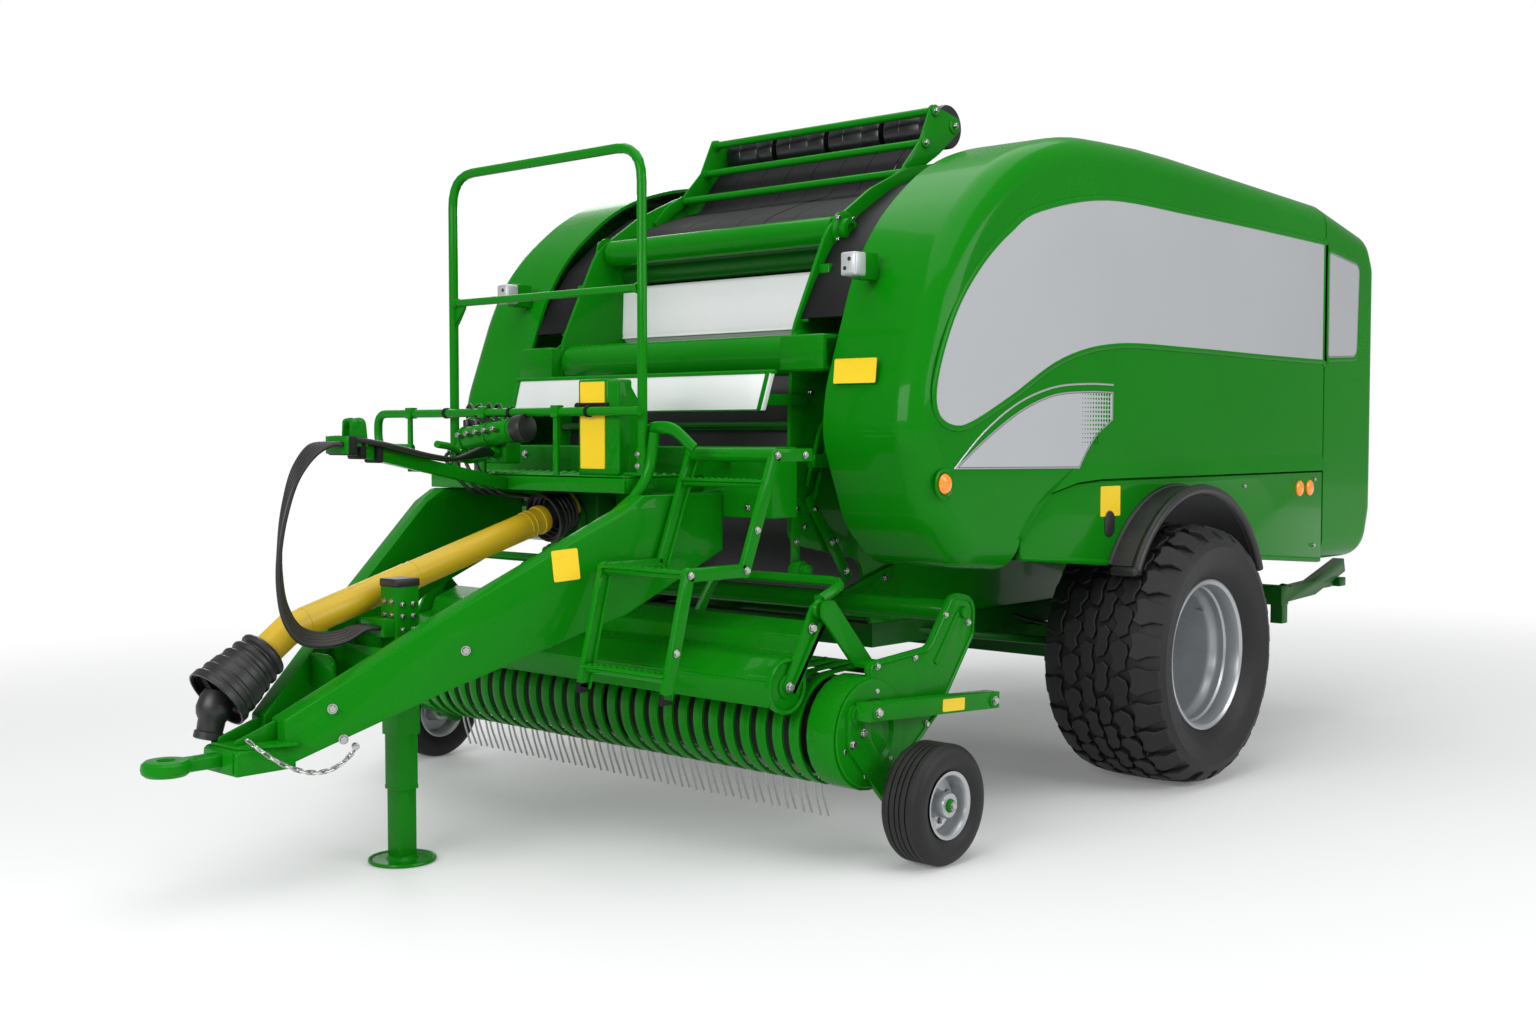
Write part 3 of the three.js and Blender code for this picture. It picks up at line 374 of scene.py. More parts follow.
def finished(obj, body, slot, *nodes, material=None):
    """As assigned, after the finish that goes with the slot or is named."""
    obj.data.materials.clear()
    obj.data.materials.append(material or FINISHES[slot])
    return assigned(obj, body, slot, *nodes)


def painted(obj, body, *nodes, material=None):
    """As finished, in green paint unless another finish is named."""
    return finished(obj, body, "green_paint", *nodes, material=material)


def detailed(node, width=0.003, segments=2, angle=30):
    """A merged copy of a frame piece, its flat faces dissolved and its edges rounded."""
    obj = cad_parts[node].copy()
    obj.data = obj.data.copy()
    obj.parent = None
    for key in list(obj.keys()):
        del obj[key]
    scene.collection.objects.link(obj)
    obj.hide_render = obj.hide_viewport = False
    obj.name = node + "_body"
    edit(obj)
    bpy.ops.mesh.remove_doubles(threshold=1e-5)
    bpy.ops.mesh.dissolve_limited(angle_limit=math.radians(1.5))
    done(obj)
    return soften(obj, width, segments, angle)


# ---------------- shader node groups
def new_group(name, inputs, outputs):
    group = bpy.data.node_groups.new(name, "ShaderNodeTree")
    for label, kind, value in inputs:
        socket = group.interface.new_socket(label, in_out="INPUT", socket_type="NodeSocket" + kind)
        socket.default_value = value
    for label, kind in outputs:
        group.interface.new_socket(label, in_out="OUTPUT", socket_type="NodeSocket" + kind)
    return group, group.nodes.new("NodeGroupInput"), group.nodes.new("NodeGroupOutput")


def node(tree, kind, values=None, **settings):
    made = tree.nodes.new("ShaderNode" + kind)
    for key, value in settings.items():
        setattr(made, key, value)
    for key, value in (values or {}).items():
        if isinstance(value, bpy.types.NodeSocket):
            tree.links.new(value, made.inputs[key])
        else:
            made.inputs[key].default_value = value
    return made


def mix_colour(tree, factor, low, high):
    return node(tree, "Mix", {0: factor, 6: low, 7: high}, data_type="RGBA").outputs[2]


def grouped(tree, group, values):
    return node(tree, "Group", values, node_tree=group)


def value_and_normal(group, start, end, value, height):
    """Ends a group: the value spread over its range, and a bump normal from the height."""
    bump = node(group, "Bump", {"Strength": start.outputs["Bump"], "Distance": start.outputs["Depth"],
                                "Height": height})
    spread = node(group, "MapRange", {0: value, 1: 0.3, 2: 0.7, 3: 0.0, 4: 1.0})
    group.links.new(spread.outputs[0], end.inputs["Value"])
    group.links.new(bump.outputs[0], end.inputs["Normal"])
    return group


def build_mottle():
    """Broad and fine noise as one value, and a bump normal from both."""
    group, start, end = new_group("mottle", [
        ("Broad", "Float", 1.5), ("Fine", "Float", 60.0), ("Share", "Float", 0.5), ("Bump", "Float", 0.1),
        ("Depth", "Float", 0.001)], [("Value", "Float"), ("Normal", "Vector")])
    place = node(group, "TexCoord").outputs["Object"]
    broad = node(group, "TexNoise", {"Vector": place, "Scale": start.outputs["Broad"], "Detail": 3.0})
    fine = node(group, "TexNoise", {"Vector": place, "Scale": start.outputs["Fine"], "Detail": 4.0})
    mixed = node(group, "Mix", {0: start.outputs["Share"], 2: broad.outputs[0], 3: fine.outputs[0]})
    return value_and_normal(group, start, end, mixed.outputs[0], fine.outputs[0])


def build_dust():
    """A mask of dust: on faces that look up and low on the machine, broken up by noise."""
    group, start, end = new_group("dust", [
        ("Amount", "Float", 0.2), ("Scale", "Float", 9.0), ("Height", "Float", 1.2)], [("Mask", "Float")])
    place = node(group, "TexCoord").outputs["Object"]
    noise = node(group, "TexNoise", {"Vector": place, "Scale": start.outputs["Scale"], "Detail": 6.0,
                                     "Roughness": 0.65})
    patch = node(group, "MapRange", {0: noise.outputs[0], 1: 0.42, 2: 0.75, 3: 0.0, 4: 1.0})
    facing = node(group, "SeparateXYZ", {0: node(group, "NewGeometry").outputs["Normal"]})
    up = node(group, "MapRange", {0: facing.outputs[2], 1: -0.2, 2: 1.0, 3: 0.25, 4: 1.0})
    height = node(group, "SeparateXYZ", {0: place})
    low = node(group, "MapRange", {0: height.outputs[2], 1: 0.0, 2: start.outputs["Height"], 3: 1.0, 4: 0.35})
    first = node(group, "Math", {0: patch.outputs[0], 1: up.outputs[0]}, operation="MULTIPLY")
    second = node(group, "Math", {0: first.outputs[0], 1: low.outputs[0]}, operation="MULTIPLY")
    mask = node(group, "Math", {0: second.outputs[0], 1: start.outputs["Amount"]}, operation="MULTIPLY")
    group.links.new(mask.outputs[0], end.inputs["Mask"])
    return group


def build_lines():
    """Fine lines across one axis, as in wound film or brushed metal: a value and a normal."""
    group, start, end = new_group("fine_lines", [
        ("Stretch", "Vector", (1.0, 1.0, 1.0)), ("Scale", "Float", 40.0), ("Bump", "Float", 0.2),
        ("Depth", "Float", 0.001)], [("Value", "Float"), ("Normal", "Vector")])
    place = node(group, "TexCoord").outputs["Object"]
    stretched = node(group, "VectorMath", {0: place, 1: start.outputs["Stretch"]}, operation="MULTIPLY")
    noise = node(group, "TexNoise", {"Vector": stretched.outputs[0], "Scale": start.outputs["Scale"],
                                     "Detail": 4.0})
    return value_and_normal(group, start, end, noise.outputs[0], noise.outputs[0])


MOTTLE, DUST, LINES = build_mottle(), build_dust(), build_lines()
DUST_COLOUR = (0.3, 0.26, 0.19, 1)


def material(name, colour, roughness, metallic=0.0, variation=0.85, spread=0.08, broad=1.5, fine=60.0,
             share=0.5, bump=0.1, depth=0.001, dust=0.15, lines=None, **plain):
    """Mottled colour and roughness, dust and a fine bump; plain values go on the shader's own sockets."""
    made = bpy.data.materials.new(name)
    made.use_nodes = True
    tree = made.node_tree
    shader = tree.nodes["Principled BSDF"]
    mottle = grouped(tree, MOTTLE, {"Broad": broad, "Fine": fine, "Share": share, "Bump": bump,
                                    "Depth": depth})
    base = (*colour, 1)
    deeper = tuple(c * variation for c in colour) + (1,)
    value = mottle.outputs["Value"]
    tinted = mix_colour(tree, value, deeper, base)
    normal = mottle.outputs["Normal"]
    if lines:
        streaks = grouped(tree, LINES, lines)
        tinted = mix_colour(tree, streaks.outputs["Value"], tinted, base)
        normal = streaks.outputs["Normal"]
    mask = grouped(tree, DUST, {"Amount": dust}).outputs["Mask"]
    tree.links.new(mix_colour(tree, mask, tinted, DUST_COLOUR), shader.inputs["Base Color"])
    rough = node(tree, "MapRange", {0: value, 1: 0.0, 2: 1.0, 3: max(roughness - spread, 0.02),
                                    4: roughness + spread})
    dulled = node(tree, "Math", {0: rough.outputs[0], 1: mask}, operation="ADD", use_clamp=True)
    tree.links.new(dulled.outputs[0], shader.inputs["Roughness"])
    tree.links.new(normal, shader.inputs["Normal"])
    shader.inputs["Metallic"].default_value = metallic
    for key, value in plain.items():
        shader.inputs[key.replace("_", " ")].default_value = value
    return made


GREEN = material("green_enamel", (0.0035, 0.2, 0.0035), 0.25, broad=1.1, fine=140, share=0.35, bump=0.03,
                 depth=0.0006, dust=0.03, variation=0.86, spread=0.04,
                 Coat_Weight=0.13, Coat_Roughness=0.04, Specular_IOR_Level=0.05)
# A darker copy of the green enamel: painted shade, for parts that sit under or inside the machine.
SHADE_GREEN = material("painted_shade_green_enamel", (0.002, 0.09, 0.004), 0.36, dust=0.1, spread=0.06, fine=120,
                       bump=0.04, Coat_Weight=0.12, Coat_Roughness=0.12, Specular_IOR_Level=0.12)
SILVER = material("silver_enamel", (0.5, 0.515, 0.53), 0.36, metallic=0.35, variation=0.96, fine=900,
                  share=0.6, bump=0.015, dust=0.03, spread=0.04, Coat_Weight=0.2)
PALE = material("pale_panel", (0.9, 0.905, 0.91), 0.42, variation=0.98, dust=0.02, spread=0.04)
RIM_SILVER = material("rim_silver", (0.47, 0.485, 0.5), 0.3, metallic=0.7, variation=0.93, fine=400,
                      bump=0.02, dust=0.12, spread=0.06)
# Near-black enamel; on the chamber shell it is painted shadow, a dark wall standing in for the shade seen
# into the bale chamber. The pickup reel uses it too.
DARK = material("dark_enamel_and_chamber_shadow", (0.012, 0.013, 0.014), 0.5, dust=0.22, variation=0.7)
BLACK = material("black_moulding", (0.012, 0.012, 0.014), 0.42, fine=260, bump=0.12, depth=0.0008, dust=0.1,
                 variation=0.8)
RUBBER = material("sheet_rubber", (0.006, 0.006, 0.007), 0.55, fine=180, bump=0.15, dust=0.02, variation=0.7,
                  Specular_IOR_Level=0.2)
HOSE = material("hose_cover", (0.008, 0.008, 0.009), 0.42, fine=500, bump=0.12, depth=0.0005, dust=0.03)
FILM = material("wound_film", (0.008, 0.008, 0.011), 0.3, dust=0.02, variation=0.75,
                fine=30, lines={"Stretch": (1.0, 0.05, 0.05), "Scale": 24.0, "Bump": 0.06, "Depth": 0.001})
TYRE = material("tyre_tread", (0.0085, 0.0085, 0.0092), 0.55, fine=120, bump=0.25, depth=0.0015, dust=0.05,
                variation=0.7, spread=0.08, Specular_IOR_Level=0.4)
YELLOW = material("yellow_guard", (0.68, 0.45, 0.012), 0.4, fine=90, bump=0.06, dust=0.07, variation=0.92)
PLATE_YELLOW = material("blank_plate", (0.88, 0.6, 0.01), 0.38, variation=0.97, dust=0.03)
STEEL = material("spring_steel", (0.58, 0.57, 0.56), 0.32, metallic=0.75, fine=200, dust=0.04, variation=0.75)
CHROME = material("plated_steel", (0.52, 0.52, 0.51), 0.22, metallic=1.0, fine=150, bump=0.03, dust=0.08)
AMBER = material("amber_lens", (0.95, 0.26, 0.008), 0.2, variation=0.9, dust=0.02,
                 Coat_Weight=0.6, Emission_Strength=0.12, Emission_Color=(1, 0.3, 0.02, 1))
RED = material("red_lens", (0.45, 0.012, 0.008), 0.2, variation=0.85, dust=0.02, Coat_Weight=0.6)
# Dark line round the silver inlays: painted shade standing in for the shadow in the groove at the sheet's
# edge.
HAIRLINE = material("painted_groove_shade", (0.02, 0.03, 0.022), 0.5)
FINISHES = {"green_paint": GREEN, "silver_paint": RIM_SILVER, "chrome": CHROME, "clear_lens": SILVER,
            "amber_lens": AMBER, "yellow_plate": PLATE_YELLOW, "yellow_plastic": YELLOW, "tine_steel": STEEL,
            "dark_paint": DARK, "black_plastic": BLACK, "black_rubber": RUBBER, "hose_rubber": HOSE,
            "black_film": FILM, "tyre_rubber": TYRE}


# ---------------- camera
def make_camera():
    data = bpy.data.cameras.new("camera")
    camera = bpy.data.objects.new("camera", data)
    scene.collection.objects.link(camera)
    camera.location = (4.6844, -5.3976, 1.4514)
    camera.rotation_euler = (math.radians(87.396), 0, math.radians(42.219))
    data.lens = 38.67
    data.sensor_width = 36
    data.shift_y = -0.003
    data.clip_end = 200
    scene.camera = camera


# ---------------- hoses
HOSE_RADIUS, HOSE_STEPS = 0.009, 8
HOSE_X = [-0.034 + i * 0.021 for i in range(5)]
HOSE_LENGTHS = (0.9636, 0.9914, 1.0196, 1.0482, 1.0771)
HOSE_LOOP = ((-3.1748, 1.412), (-3.2148, 1.412), (-3.262, 1.392), (-3.322, 1.32), (-3.362, 1.21),
             (-3.384, 1.09), (-3.386, 0.97), (-3.366, 0.87), (-3.316, 0.8), (-3.24, 0.775),
             (-3.16, 0.778), (-3.09, 0.8), (-3.0403, 0.8))


def smooth_through(points):
    """A centripetal Catmull-Rom line through 3-D points."""
    line = [points[0] * 2 - points[1], *points, points[-1] * 2 - points[-2]]
    out = []
    for p0, p1, p2, p3 in zip(line, line[1:], line[2:], line[3:]):
        d1, d2, d3 = ((b - a).length ** 0.5 for a, b in ((p0, p1), (p1, p2), (p2, p3)))
        m1 = (p1 - p0) / d1 - (p2 - p0) / (d1 + d2) + (p2 - p1) / d2
        m2 = (p2 - p1) / d2 - (p3 - p1) / (d2 + d3) + (p3 - p2) / d3
        m1, m2 = m1 * d2, m2 * d2
        for k in range(HOSE_STEPS):
            t = k / HOSE_STEPS
            out.append((2 * t ** 3 - 3 * t ** 2 + 1) * p1 + (t ** 3 - 2 * t ** 2 + t) * m1
                       + (3 * t ** 2 - 2 * t ** 3) * p2 + (t ** 3 - t ** 2) * m2)
    return out + [points[-1]]


def make_hoses():
    for i, length in enumerate(HOSE_LENGTHS):
        wide = i - (len(HOSE_LENGTHS) - 1) / 2
        points = []
        for k, (y, z) in enumerate(HOSE_LOOP):
            inner = 2 <= k <= len(HOSE_LOOP) - 3
            share = math.sin(math.pi * k / (len(HOSE_LOOP) - 1)) if inner else 0
            points.append(at(HOSE_X[i], y - wide * 0.014 * share, z - wide * 0.01 * share))
        path = smooth_through(points)
        hose = round_curve(f"supply_hose_{i + 1}", path, HOSE_RADIUS, 4)
        hose.data.materials.append(HOSE)
        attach(hose, "root")
        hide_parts(f"hose_{i + 1}")


# ---------------- floor and light
def make_floor():
    clear()
    bpy.ops.mesh.primitive_grid_add(x_subdivisions=8, y_subdivisions=8, size=80, location=(0, 0, -0.001))
    floor = settle(bpy.context.object, "floor")
    made = bpy.data.materials.new("pale_floor")
    made.use_nodes = True
    tree = made.node_tree
    shader = tree.nodes["Principled BSDF"]
    shader.inputs["Base Color"].default_value = (0.82, 0.82, 0.82, 1)
    shader.inputs["Roughness"].default_value = 0.7
    out = tree.nodes["Material Output"]
    place = node(tree, "TexCoord").outputs["Object"]
    centred = node(tree, "Mapping", {"Vector": place, "Scale": (0.19, 0.155, 1.0)})
    distance = node(tree, "VectorMath", {0: centred.outputs[0]}, operation="LENGTH")
    fade = node(tree, "MapRange", {0: distance.outputs["Value"], 1: 0.55, 2: 1.35, 3: 0.12, 4: 1.0},
                interpolation_type="SMOOTHSTEP")
    path = node(tree, "LightPath")
    seen = node(tree, "Math", {0: path.outputs["Is Camera Ray"], 1: path.outputs["Is Glossy Ray"]},
                operation="MAXIMUM")
    seen = node(tree, "Math", {0: seen.outputs[0], 1: path.outputs["Is Transmission Ray"]},
                operation="MAXIMUM")
    factor = node(tree, "Math", {0: fade.outputs[0], 1: seen.outputs[0]}, operation="MULTIPLY")
    white = node(tree, "Emission", {"Color": (1, 1, 1, 1), "Strength": 1.0})
    mixed = node(tree, "MixShader", {0: factor.outputs[0], 1: shader.outputs[0], 2: white.outputs[0]})
    tree.links.new(mixed.outputs[0], out.inputs["Surface"])
    floor.data.materials.append(made)


def make_world():
    world = bpy.data.worlds.new("studio")
    scene.world = world
    world.use_nodes = True
    tree = world.node_tree
    path = node(tree, "LightPath")
    behind = node(tree, "Math", {0: path.outputs["Is Camera Ray"], 1: path.outputs["Is Transmission Ray"]},
                  operation="MAXIMUM")
    ambient = node(tree, "Background", {"Color": (0.95, 0.97, 1.0, 1), "Strength": 0.42})
    mirror = node(tree, "Background", {"Color": (1, 1, 1, 1), "Strength": 0.4})
    white = node(tree, "Background", {"Color": (1, 1, 1, 1), "Strength": 1.0})
    first = node(tree, "MixShader", {0: path.outputs["Is Glossy Ray"], 1: ambient.outputs[0],
                                     2: mirror.outputs[0]})
    second = node(tree, "MixShader", {0: behind.outputs[0], 1: first.outputs[0], 2: white.outputs[0]})
    tree.links.new(second.outputs[0], tree.nodes["World Output"].inputs["Surface"])


def soft_lamp(name, place, target, size, power):
    data = bpy.data.lights.new(name, "AREA")
    data.shape = "RECTANGLE"
    data.size, data.size_y = size
    data.energy = power
    lamp = bpy.data.objects.new(name, data)
    scene.collection.objects.link(lamp)
    lamp.location = place
    lamp.rotation_euler = (Vector(target) - Vector(place)).to_track_quat("-Z", "Y").to_euler()


def make_lamps():
    soft_lamp("overhead_lamp", (0.5, -0.3, 6.5), (0.3, 0, 0), (5.5, 9.0), 300)
    soft_lamp("front_lamp", (1.5, -9.0, 4.2), (0, -1.5, 1.2), (6.0, 3.0), 400)
    soft_lamp("side_lamp", (8.0, 1.5, 4.0), (0.5, 0.3, 1.2), (7.0, 3.0), 270)
    soft_lamp("back_lamp", (-6.5, 4.5, 4.5), (0, 0, 1.2), (6.0, 3.0), 220)


# ---------------- small repeated parts
def hexbolt(size=0.011):
    """One washer and hexagon head on +Z, its underside at the origin."""
    clear()
    bpy.ops.mesh.primitive_cylinder_add(vertices=16, radius=size * 1.25, depth=size * 0.25,
                                        location=(0, 0, size * 0.125))
    washer = settle(bpy.context.object)
    clear()
    bpy.ops.mesh.primitive_cylinder_add(vertices=6, radius=size, depth=size * 0.8,
                                        location=(0, 0, size * 0.6))
    head = settle(bpy.context.object)
    edit(head, "EDGE")
    bpy.ops.mesh.bevel(offset=size * 0.12, segments=1, affect="EDGES")
    done(head)
    return smooth(join("bolt", [washer, head]))


def bolts(name, places, body, size=0.011, slot="chrome"):
    """Hexagon bolts joined as one piece, at ((x, y, z), direction) places."""
    seed = hexbolt(size)
    copies = [copy(seed, along(direction, at(*place))) for place, direction in places]
    bpy.data.objects.remove(seed)
    return finished(join(name, copies), body, slot)


def facing(side, x, spots):
    """Bolt places that look outwards at a distance from the middle, at (y, z) spots."""
    return [((side * x, y, z), (side, 0, 0)) for y, z in spots]


def around(y, z, radius, angles):
    """The (y, z) spots on a circle."""
    return [(y + radius * math.cos(a), z + radius * math.sin(a)) for a in angles]


def label(name, centre, size, normal, body, slant=0.0):
    """A blank plate with round corners and a raised rim, its back on the surface."""
    width, height = size
    half = [(-width / 2, -height / 2, 0.006), (width / 2, -height / 2, 0.006),
            (width / 2, height / 2, 0.006), (-width / 2, height / 2, 0.006)]
    obj = plate(name, rounded(half, 24), "Z", 0, 0.0022, 0)
    choose(obj, "FACE", lambda face: face.normal.z > 0.9)
    bpy.ops.mesh.inset(thickness=0.004, depth=-0.0006)
    done(obj)
    obj.data.transform(Matrix.Translation((0, -SHIFT, 0)))
    normal = Vector(normal).normalized()
    up = Vector((0, 0, 1))
    across = up.cross(normal).normalized()
    up = normal.cross(across)
    turn = Matrix((across, up, normal)).transposed().to_4x4() @ Matrix.Rotation(slant, 4, "Z")
    obj.data.transform(Matrix.Translation(at(*centre)) @ turn)
    smooth(obj)
    return finished(obj, body, "yellow_plate")


# ---------------- side covers
FACE, LIP, SKIN, ROUND = 1.28, 0.86, 0.014, 0.11
CHAMBER_OUT = 0.6553
SEAM = 1.549
COVER = [(-1.42, 0.965, 0.23), (1.949, 0.7, 0), (1.949, 2.52, 0), (1.549, 2.56, 0), (-0.15, 2.625, 7.0),
         (-0.73, 2.602, 1.4), (-1.12, 2.475, 1.0), (-1.5, 2.16, 0.9), (-1.705, 1.6, 0.5),
         (-1.72, 1.43, 0.26), (-1.59, 1.11, 0.3)]
CREASE = [(-1.125, 0.9), (-1.085, 1.05), (-1.0, 1.14), (-0.882, 1.222), (-0.7, 1.256), (-0.521, 1.266)]
REAR = [(1.0, 0.82, 0), (2.12, 0.82, 0.16), (2.2, 1.05, 0.2), (2.2, 2.3, 0.16), (2.11, 2.45, 0.16),
        (1.549, 2.56, 0), (1.0, 2.58, 0)]
INLAY = [(-0.965, 2.271), (-0.48, 2.362), (0.2, 2.368), (0.9, 2.364), (1.567, 2.355), (1.574, 2.35),
         (1.588, 1.812), (1.58, 1.804), (0.9, 1.806), (0.2, 1.812), (-0.4, 1.806), (-0.8, 1.736),
         (-1.155, 1.585), (-1.4, 1.49), (-1.51, 1.478), (-1.59, 1.515), (-1.606, 1.6), (-1.56, 1.74),
         (-1.469, 1.9), (-1.33, 2.05), (-1.16, 2.175)]
INLAY = [(min(y, 1.528), z) for y, z in INLAY]
REAR_INLAY = [(1.592, 2.33, 0.02), (1.592, 1.815, 0.02), (1.935, 1.83, 0.05), (1.955, 2.29, 0.05)]
BADGE_ARC = [(-1.5, 1.322), (-1.32, 1.452), (-1.1, 1.56), (-0.86, 1.622), (-0.62, 1.64), (-0.428, 1.64)]
BADGE = [(-1.5, 1.322), (-1.3, 1.435), (-1.08, 1.535), (-0.86, 1.595), (-0.62, 1.612), (-0.43, 1.612),
         (-0.432, 1.5), (-0.55, 1.44), (-0.63, 1.37), (-0.678, 1.312)]


def cover_skin(name, corners, back):
    """The cover's outline drawn out to its face, its outer edge rolled, its back open, given a wall."""
    shell = plate(name, rounded(corners, 120), "X", back, FACE, 0)
    break_edges(shell, 0, FACE - 1e-4, ROUND, 9)
    choose(shell, "FACE", lambda face: face.normal.x < -0.99)
    bpy.ops.mesh.delete(type="FACE")
    done(shell)
    return apply(shell, "SOLIDIFY", thickness=SKIN, offset=-1)


def trim(shell):
    """Breaks a cut shell's sharp edges."""
    apply(shell, "BEVEL", width=0.003, segments=2, limit_method="ANGLE", angle_limit=math.radians(50))
    smooth(shell, math.radians(40))


def inlay(name, outline, body):
    """A silver sheet let into the cover, with a light border and a dark hairline inside it; the hairline is
    painted shade for the groove at the sheet's edge.
    """
    sheet = plate(name, outline, "X", FACE - 0.001, FACE + 0.003, 0)
    for made in (SILVER, HAIRLINE, RIM_SILVER):
        sheet.data.materials.append(made)

    def is_front(polygon):
        return polygon.normal.x > 0.9 and len(polygon.vertices) == len(outline)

    def paint(index):
        for polygon in filter(is_front, sheet.data.polygons):
            polygon.material_index = index

    for thickness, index in ((0.005, 2), (0.0022, 1)):
        paint(index)
        choose(sheet, "FACE", is_front)
        bpy.ops.mesh.inset(thickness=thickness)
        done(sheet)
        paint(0)
    return assigned(smooth(sheet), body, "silver_paint")


def ridge(name, outline, face, radius, closed=True):
    """A low round bead pressed along a line of the cover's face."""
    points = [(face, p[0], p[1]) for p in outline]
    bead = tube(name, points, radius, 12, closed=closed)
    bead.data.transform(Matrix.Translation((face, 0, 0)) @ Matrix.Scale(0.42, 4, (1, 0, 0))
                        @ Matrix.Translation((-face, 0, 0)))
    return bead


def grown(outline, distance):
    """Every corner of an outline moved outwards by a distance."""
    line = [Vector(p[:2]) for p in outline]
    centre_sign = sum(line[i - 1].cross(line[i]) for i in range(len(line)))
    way = 1 if centre_sign > 0 else -1
    out = []
    for i, point in enumerate(line):
        into = (point - line[i - 1]).normalized()
        on = (line[(i + 1) % len(line)] - point).normalized()
        normal = (into + on).normalized()
        out.append(point + Vector((normal.y, -normal.x)) * distance * way)
    return out


def clean(points, least=0.004):
    """Points closer than the least spacing to the last one are left out."""
    out = [points[0]]
    for p in points[1:]:
        if (Vector(p[:2]) - Vector(out[-1][:2])).length > least:
            out.append(p)
    return out


def make_side(side, word):
    below = [*CREASE, (4.0, 1.266), (4.0, -0.2), (-1.125, -0.2)]
    door = cover_skin("side_cover_" + word, COVER, LIP)
    carve(door, plate("cutter", below, "X", 0, 2.0, 0),
          block("cutter", (0, SEAM, -0.1), (2.0, 4.0, 4.0), 0.001))
    trim(door)
    parts = [door]
    outline = clean(through(INLAY, 6))
    parts.append(ridge("bead", clean(grown(outline, 0.01), 0.006), FACE, 0.013))

    top = [(y + 0.01, z + 0.09 * min(1, max(0.25, (y + 1.25) / 0.7))) for y, z in CREASE[1:]]
    crease = [(y - 0.002, z + 0.001) for y, z in CREASE[1:]] + [(0.3, 1.267), (1.0, 1.267),
                                                                (SEAM - 0.002, 1.267)]
    upper = top + [(0.3, 1.357), (1.0, 1.352), (SEAM - 0.002, 1.35)]
    fold = plate("fold", crease + upper[::-1], "X", FACE - 0.004, FACE + 0.013, 0)
    for vertex in fold.data.vertices:
        y, z = vertex.co.y - SHIFT, vertex.co.z
        near = min((Vector((y, z)) - Vector(p)).length for p in upper)
        if vertex.co.x > FACE and near < 0.002:
            vertex.co.x = FACE - 0.0005
    soften(fold, 0.006, 3, 50)
    parts.append(fold)
    parts.append(turned("lamp_recess", [(0.036, -0.002), (0.05, -0.002), (0.056, 0.003), (0.05, 0.006),
                                        (0.04, 0.003)], (FACE, -1.56, 1.272), steps=36))
    cover = join("side_cover_" + word, parts)
    sheets = [inlay("silver_inlay_" + word, outline, "door_" + word)]
    fin = clean(through(BADGE_ARC, 5, False), 0.001)
    fin_outline = through(BADGE[:6], 5, False) + through(BADGE[6:], 4, False)
    sheets.append(inlay("fin_badge_" + word, clean(fin_outline, 0.003), "door_" + word))
    sheets.append(finished(ridge("fin_line_" + word, fin, FACE + 0.001, 0.0042, False), "door_" + word,
                           "silver_paint"))
    grid = [(i, -0.66 + 0.02 * i, 1.6 - 0.017 * j) for i in range(11) for j in range(12)]
    dots = [rod("dot", (FACE, y, z), (FACE + 0.0037, y, z), 0.0022 + 0.00055 * i, 8, 0) for i, y, z in grid
            if z > 1.335 + 0.012 * i + (0.04 if i > 6 else 0)]
    sheets.append(painted(join("fin_dots_" + word, dots), "door_" + word))
    lens = turned("cover_lamp_" + word, [(0, 0.001), (0.034, 0.001), (0.036, 0.006), (0.03, 0.013),
                                         (0.012, 0.017), (0.01, 0.015), (0, 0.0155)], (FACE, -1.56, 1.272),
                  steps=32)
    sheets.append(finished(lens, "door_" + word, "amber_lens"))

    corner = cover_skin("rear_cover_" + word, REAR, CHAMBER_OUT)
    carve(corner, block("cutter", (0, -0.1, -0.1), (2.0, SEAM + 0.0125, 4.0), 0.001))
    trim(corner)
    rear_outline = rounded(REAR_INLAY, 40)
    corner = join("rear_cover_" + word, [corner, ridge("bead", grown(rear_outline, 0.01), FACE, 0.013)])
    sheets.append(inlay("rear_inlay_" + word, rear_outline, "tailgate"))

    shapes = [cover, corner] + sheets
    if side < 0:
        for shape in shapes:
            flip_across(shape)
    for shell in (cover, corner):
        apply(shell, "WEIGHTED_NORMAL", weight=100, keep_sharp=True)
    painted(cover, "door_" + word, "side_door_" + word)
    painted(corner, "tailgate", "rear_corner_" + word)


# ---------------- main wheels
WHEEL_X, WHEEL_R = 1.265, 0.5375
CROWN = [(0.0, 0.518), (0.06, 0.5175), (0.12, 0.5155), (0.17, 0.5115), (0.21, 0.503), (0.238, 0.489),
         (0.258, 0.467), (0.268, 0.445)]  # distance from the middle, radius


def crown(x):
    """The tyre's radius under the blocks, at a distance from the middle."""
    x = abs(x)
    for (x0, r0), (x1, r1) in zip(CROWN, CROWN[1:]):
        if x <= x1:
            return r0 + (r1 - r0) * (x - x0) / (x1 - x0)
    return CROWN[-1][1]


PITCHES = 24
BLOCK_DEPTH = 0.024  # as drawn flat, before it stands on the crown
TREAD = (  # outlines of the blocks of one pitch: distance from the middle, then share of the pitch
    ((0.15, 0.1), (0.182, 0.02), (0.225, 0.1), (0.262, 0.1), (0.262, 0.7), (0.228, 0.72), (0.185, 0.86),
     (0.152, 0.74), (0.164, 0.42)),
    ((0.072, 0.4), (0.105, 0.3), (0.142, 0.44), (0.15, 0.66), (0.136, 0.92), (0.14, 1.12), (0.104, 1.26),
     (0.078, 1.1), (0.088, 0.86), (0.066, 0.62)),
    ((0.006, 0.02), (0.04, -0.08), (0.066, 0.08), (0.054, 0.3), (0.06, 0.52), (0.042, 0.8), (0.012, 0.86),
     (0.0, 0.62), (0.012, 0.34)),
)


